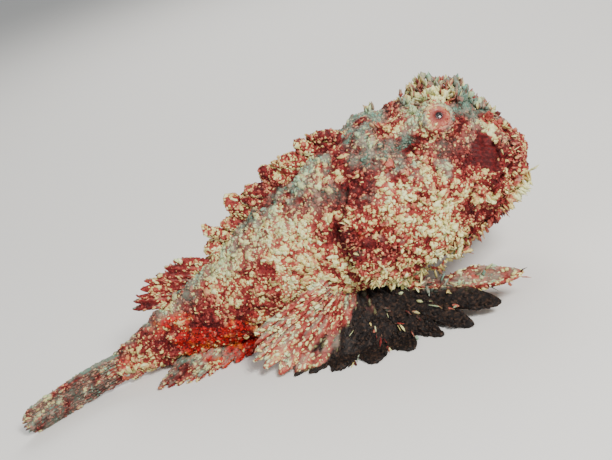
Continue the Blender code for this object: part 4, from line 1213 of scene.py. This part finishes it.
def makeStage():
    shape = bmesh.new()
    bmesh.ops.create_circle(shape, cap_ends=True, segments=96, radius=stage["floorRadius"])
    floor = bpy.data.objects.new("floor", meshFrom("floor", shape))
    bpy.context.scene.collection.objects.link(floor)
    finish = Finish("pale floor", 0.8)
    finish.give("Base Color", stage["floor"])
    floor.data.materials.append(finish.material)
    world = bpy.data.worlds.new("studio")
    bpy.context.scene.world = world
    world.use_nodes = True
    background = world.node_tree.nodes["Background"].inputs
    background["Color"].default_value, background["Strength"].default_value = stage["sky"], stage["skyStrength"]
    for name, (place, size, power) in lights.items():
        lamp = bpy.data.lights.new(name, "AREA")
        lamp.size, lamp.energy, lamp.color = size, power, stage["light"]
        holder = bpy.data.objects.new(name, lamp)
        holder.location = place
        holder.rotation_mode = "QUATERNION"
        holder.rotation_quaternion = (Vector(stage["lightAim"]) - Vector(place)).to_track_quat("-Z", "Y")
        bpy.context.scene.collection.objects.link(holder)


def makeCamera():
    data = bpy.data.cameras.new("camera")
    data.sensor_width = 36.0
    data.lens = camera["focal"] / camera["width"] * data.sensor_width
    data.clip_start = 0.01
    holder = bpy.data.objects.new("camera", data)
    bpy.context.scene.collection.objects.link(holder)
    a, e, r = (math.radians(camera[key]) for key in ("azimuth", "elevation", "roll"))
    back = Vector((math.sin(a) * math.cos(e), -math.cos(a) * math.cos(e), math.sin(e)))
    across = Vector((math.cos(a), math.sin(a), 0))
    up = back.cross(across)
    tiltedAcross = across * math.cos(r) - up * math.sin(r)
    tiltedUp = across * math.sin(r) + up * math.cos(r)
    turn = Matrix((tiltedAcross, tiltedUp, back)).transposed()
    holder.matrix_world = Matrix.Translation(Vector(camera["aim"]) + back * camera["distance"]) @ turn.to_4x4()
    bpy.context.scene.camera = holder


# settings of the coats: tufts to the square millimetre, and their sizes
coats = {
    "head": {"perSquare": 1.0, "size": (0.4, 1.05), "spread": 0.7},
    "trunk": {"perSquare": 0.68, "size": (0.42, 1.15), "spread": 0.7},
    "cover": {"perSquare": 0.76, "size": (0.45, 1.15), "spread": 0.7},
    "pectoral": {"perSquare": 0.37, "size": (0.45, 1.15), "spread": 0.7},
    "pelvic": {"perSquare": 0.35, "size": (0.45, 1.0)},
    "eye": {"perSquare": 0.8, "size": (0.3, 0.8)},
    "dorsal": {"perSquare": 0.7, "size": (0.5, 1.25), "lighten": 0.2, "spread": 0.7},
    "fin": {"perSquare": 0.5, "size": (0.45, 1.05)},
    "coverPlates": {"perSquare": 0.12, "size": (1.0, 1.9), "lighten": 0.05},
    "headPlates": {"perSquare": 0.16, "size": (1.0, 1.9), "lighten": 0.05},
    "trunkPlates": {"perSquare": 0.12, "size": (1.1, 2.2), "lighten": 0.05},
    "dorsalPlates": {"perSquare": 0.12, "size": (1.2, 2.0), "lighten": 0.2},
    "coverFlaps": {"perSquare": 0.07, "long": (2.0, 4.0), "wide": (1.3, 2.4), "lighten": 0.08},
    "bodyFlaps": {"perSquare": 0.052, "long": (2.0, 4.2), "wide": (1.3, 2.6), "lighten": 0.08},
}
# stretches of x that each have a coat of their own
headSpan, frontSpan, rearSpan, trunkSpan = (-75, 20), (-130, -75), (-300, -130), (-300, -75)
bodySpans = (("head", "head", headSpan), ("front", "trunk", frontSpan), ("rear", "trunk", rearSpan))


def makeCoats(coat, skinSurface, covers, pectorals, pelvics, eyes, backFin, rayedFins):
    draw = np.random.default_rng(11)
    flesh = (coat, skin["nodes"], "skin")

    def platesOn(name, surface, piece, allow=plateShare):
        crumbCoat(name, surface, piece, draw, allow=allow, kind="plate", flat=0.5, **coats[name.split("_")[0]])

    for side, name in sideNames.items():
        for part, settings, span in bodySpans:
            crumbCoat(f"{part}Crumbs_{name}", skinSurface, flesh, draw, allow=onlyWhere(crumbShare, *span, side),
                      **coats[settings])
        coverPiece = (coat, (f"gill_cover_{name}",), "gill_flap")
        crumbCoat(f"coverCrumbs_{name}", covers[side], coverPiece, draw, **coats["cover"])
        platesOn(f"coverPlates_{name}", covers[side], coverPiece)
        flapCoat(f"coverFlaps_{name}", covers[side], coverPiece, draw, **coats["coverFlaps"])
        for kind, fins, (x, y, z) in (("pectoral", pectorals, (-104, 30, 26)), ("pelvic", pelvics, (-98, 14, 14))):
            crumbCoat(f"{kind}Crumbs_{name}", fins[side], (coat, (f"{kind}_fin_{name}",), "fin"), draw,
                      streamFrom=(x, side * y, z), **coats[kind])
        placedStrings(f"fingerStrings_{name}", fingerStrings(pectorals[side], side, draw),
                      (coat, (f"pectoral_fin_{name}",), "fin"), draw, 0.02, 1.0)
        placedStrings(f"coverFringe_{name}", stringRow("coverFringe", side, draw), coverPiece, draw, 0.12)
        for row in ("cheekFringe", "innerBeard", "middleBeard", "lipRow"):
            placedStrings(f"{row}_{name}", stringRow(row, side, draw), flesh, draw, 0.08)
        placedStrings(f"tassels_{name}", tasselStrings(side, draw), flesh, draw, 0.08)
        crumbCoat(f"eyeCrumbs_{name}", eyes[side], (coat, (f"eye_{name}",), "eye"), draw, allow=eyeRimShare,
                  **coats["eye"])
    platesOn("headPlates", skinSurface, flesh, onlyWhere(plateShare, *headSpan))
    platesOn("trunkPlates", skinSurface, flesh, onlyWhere(plateShare, *trunkSpan))
    flapCoat("bodyFlaps", skinSurface, flesh, draw, **coats["bodyFlaps"])
    backPiece = (coat, ("dorsal_fin_spiny",), "fin")
    crumbCoat("dorsalCrumbs", backFin, backPiece, draw, **coats["dorsal"])
    platesOn("dorsalPlates", backFin, backPiece)
    for (name, node, start), fin in rayedFins.items():
        crumbCoat(f"{name}Crumbs", fin, (coat, (node,), "fin"), draw, streamFrom=start, **coats["fin"])


def main():
    coat = coatFinish("crumbly coat")
    hide = coatFinish("hide")
    skinSurface = makeSkin(hide)
    covers = {side: makeCover(side, hide) for side in sideNames}
    pectorals = {side: makePairedFin("pectoral", pectoral, side, hide, fingerMarks) for side in sideNames}
    pelvicMarks = rayMarks(pelvic["rays"], -0.1)
    pelvics = {side: makePairedFin("pelvic", pelvic, side, hide, pelvicMarks) for side in sideNames}
    backFin = makeSpinyDorsal(hide)
    # name of the coat, node, and the point that its rays stream from
    rayedFins = {
        ("softDorsal", "dorsal_fin_soft", (-180, 0, 30)): makeSoftDorsal(hide),
        ("anal", "anal_fin", (-165, 0, 8)): makeAnalFin(hide),
        ("caudal", "caudal_fin", (-215, -6, 12)): makeCaudalFin(hide),
    }
    eyes = {side: makeEye(side) for side in sideNames}
    for side in sideNames:
        for kind in tubes:
            makeTube(kind, side, hide)
    print("skin, fins and eyes")
    makeCoats(coat, skinSurface, covers, pectorals, pelvics, eyes, backFin, rayedFins)
    makeStage()
    makeCamera()


main()
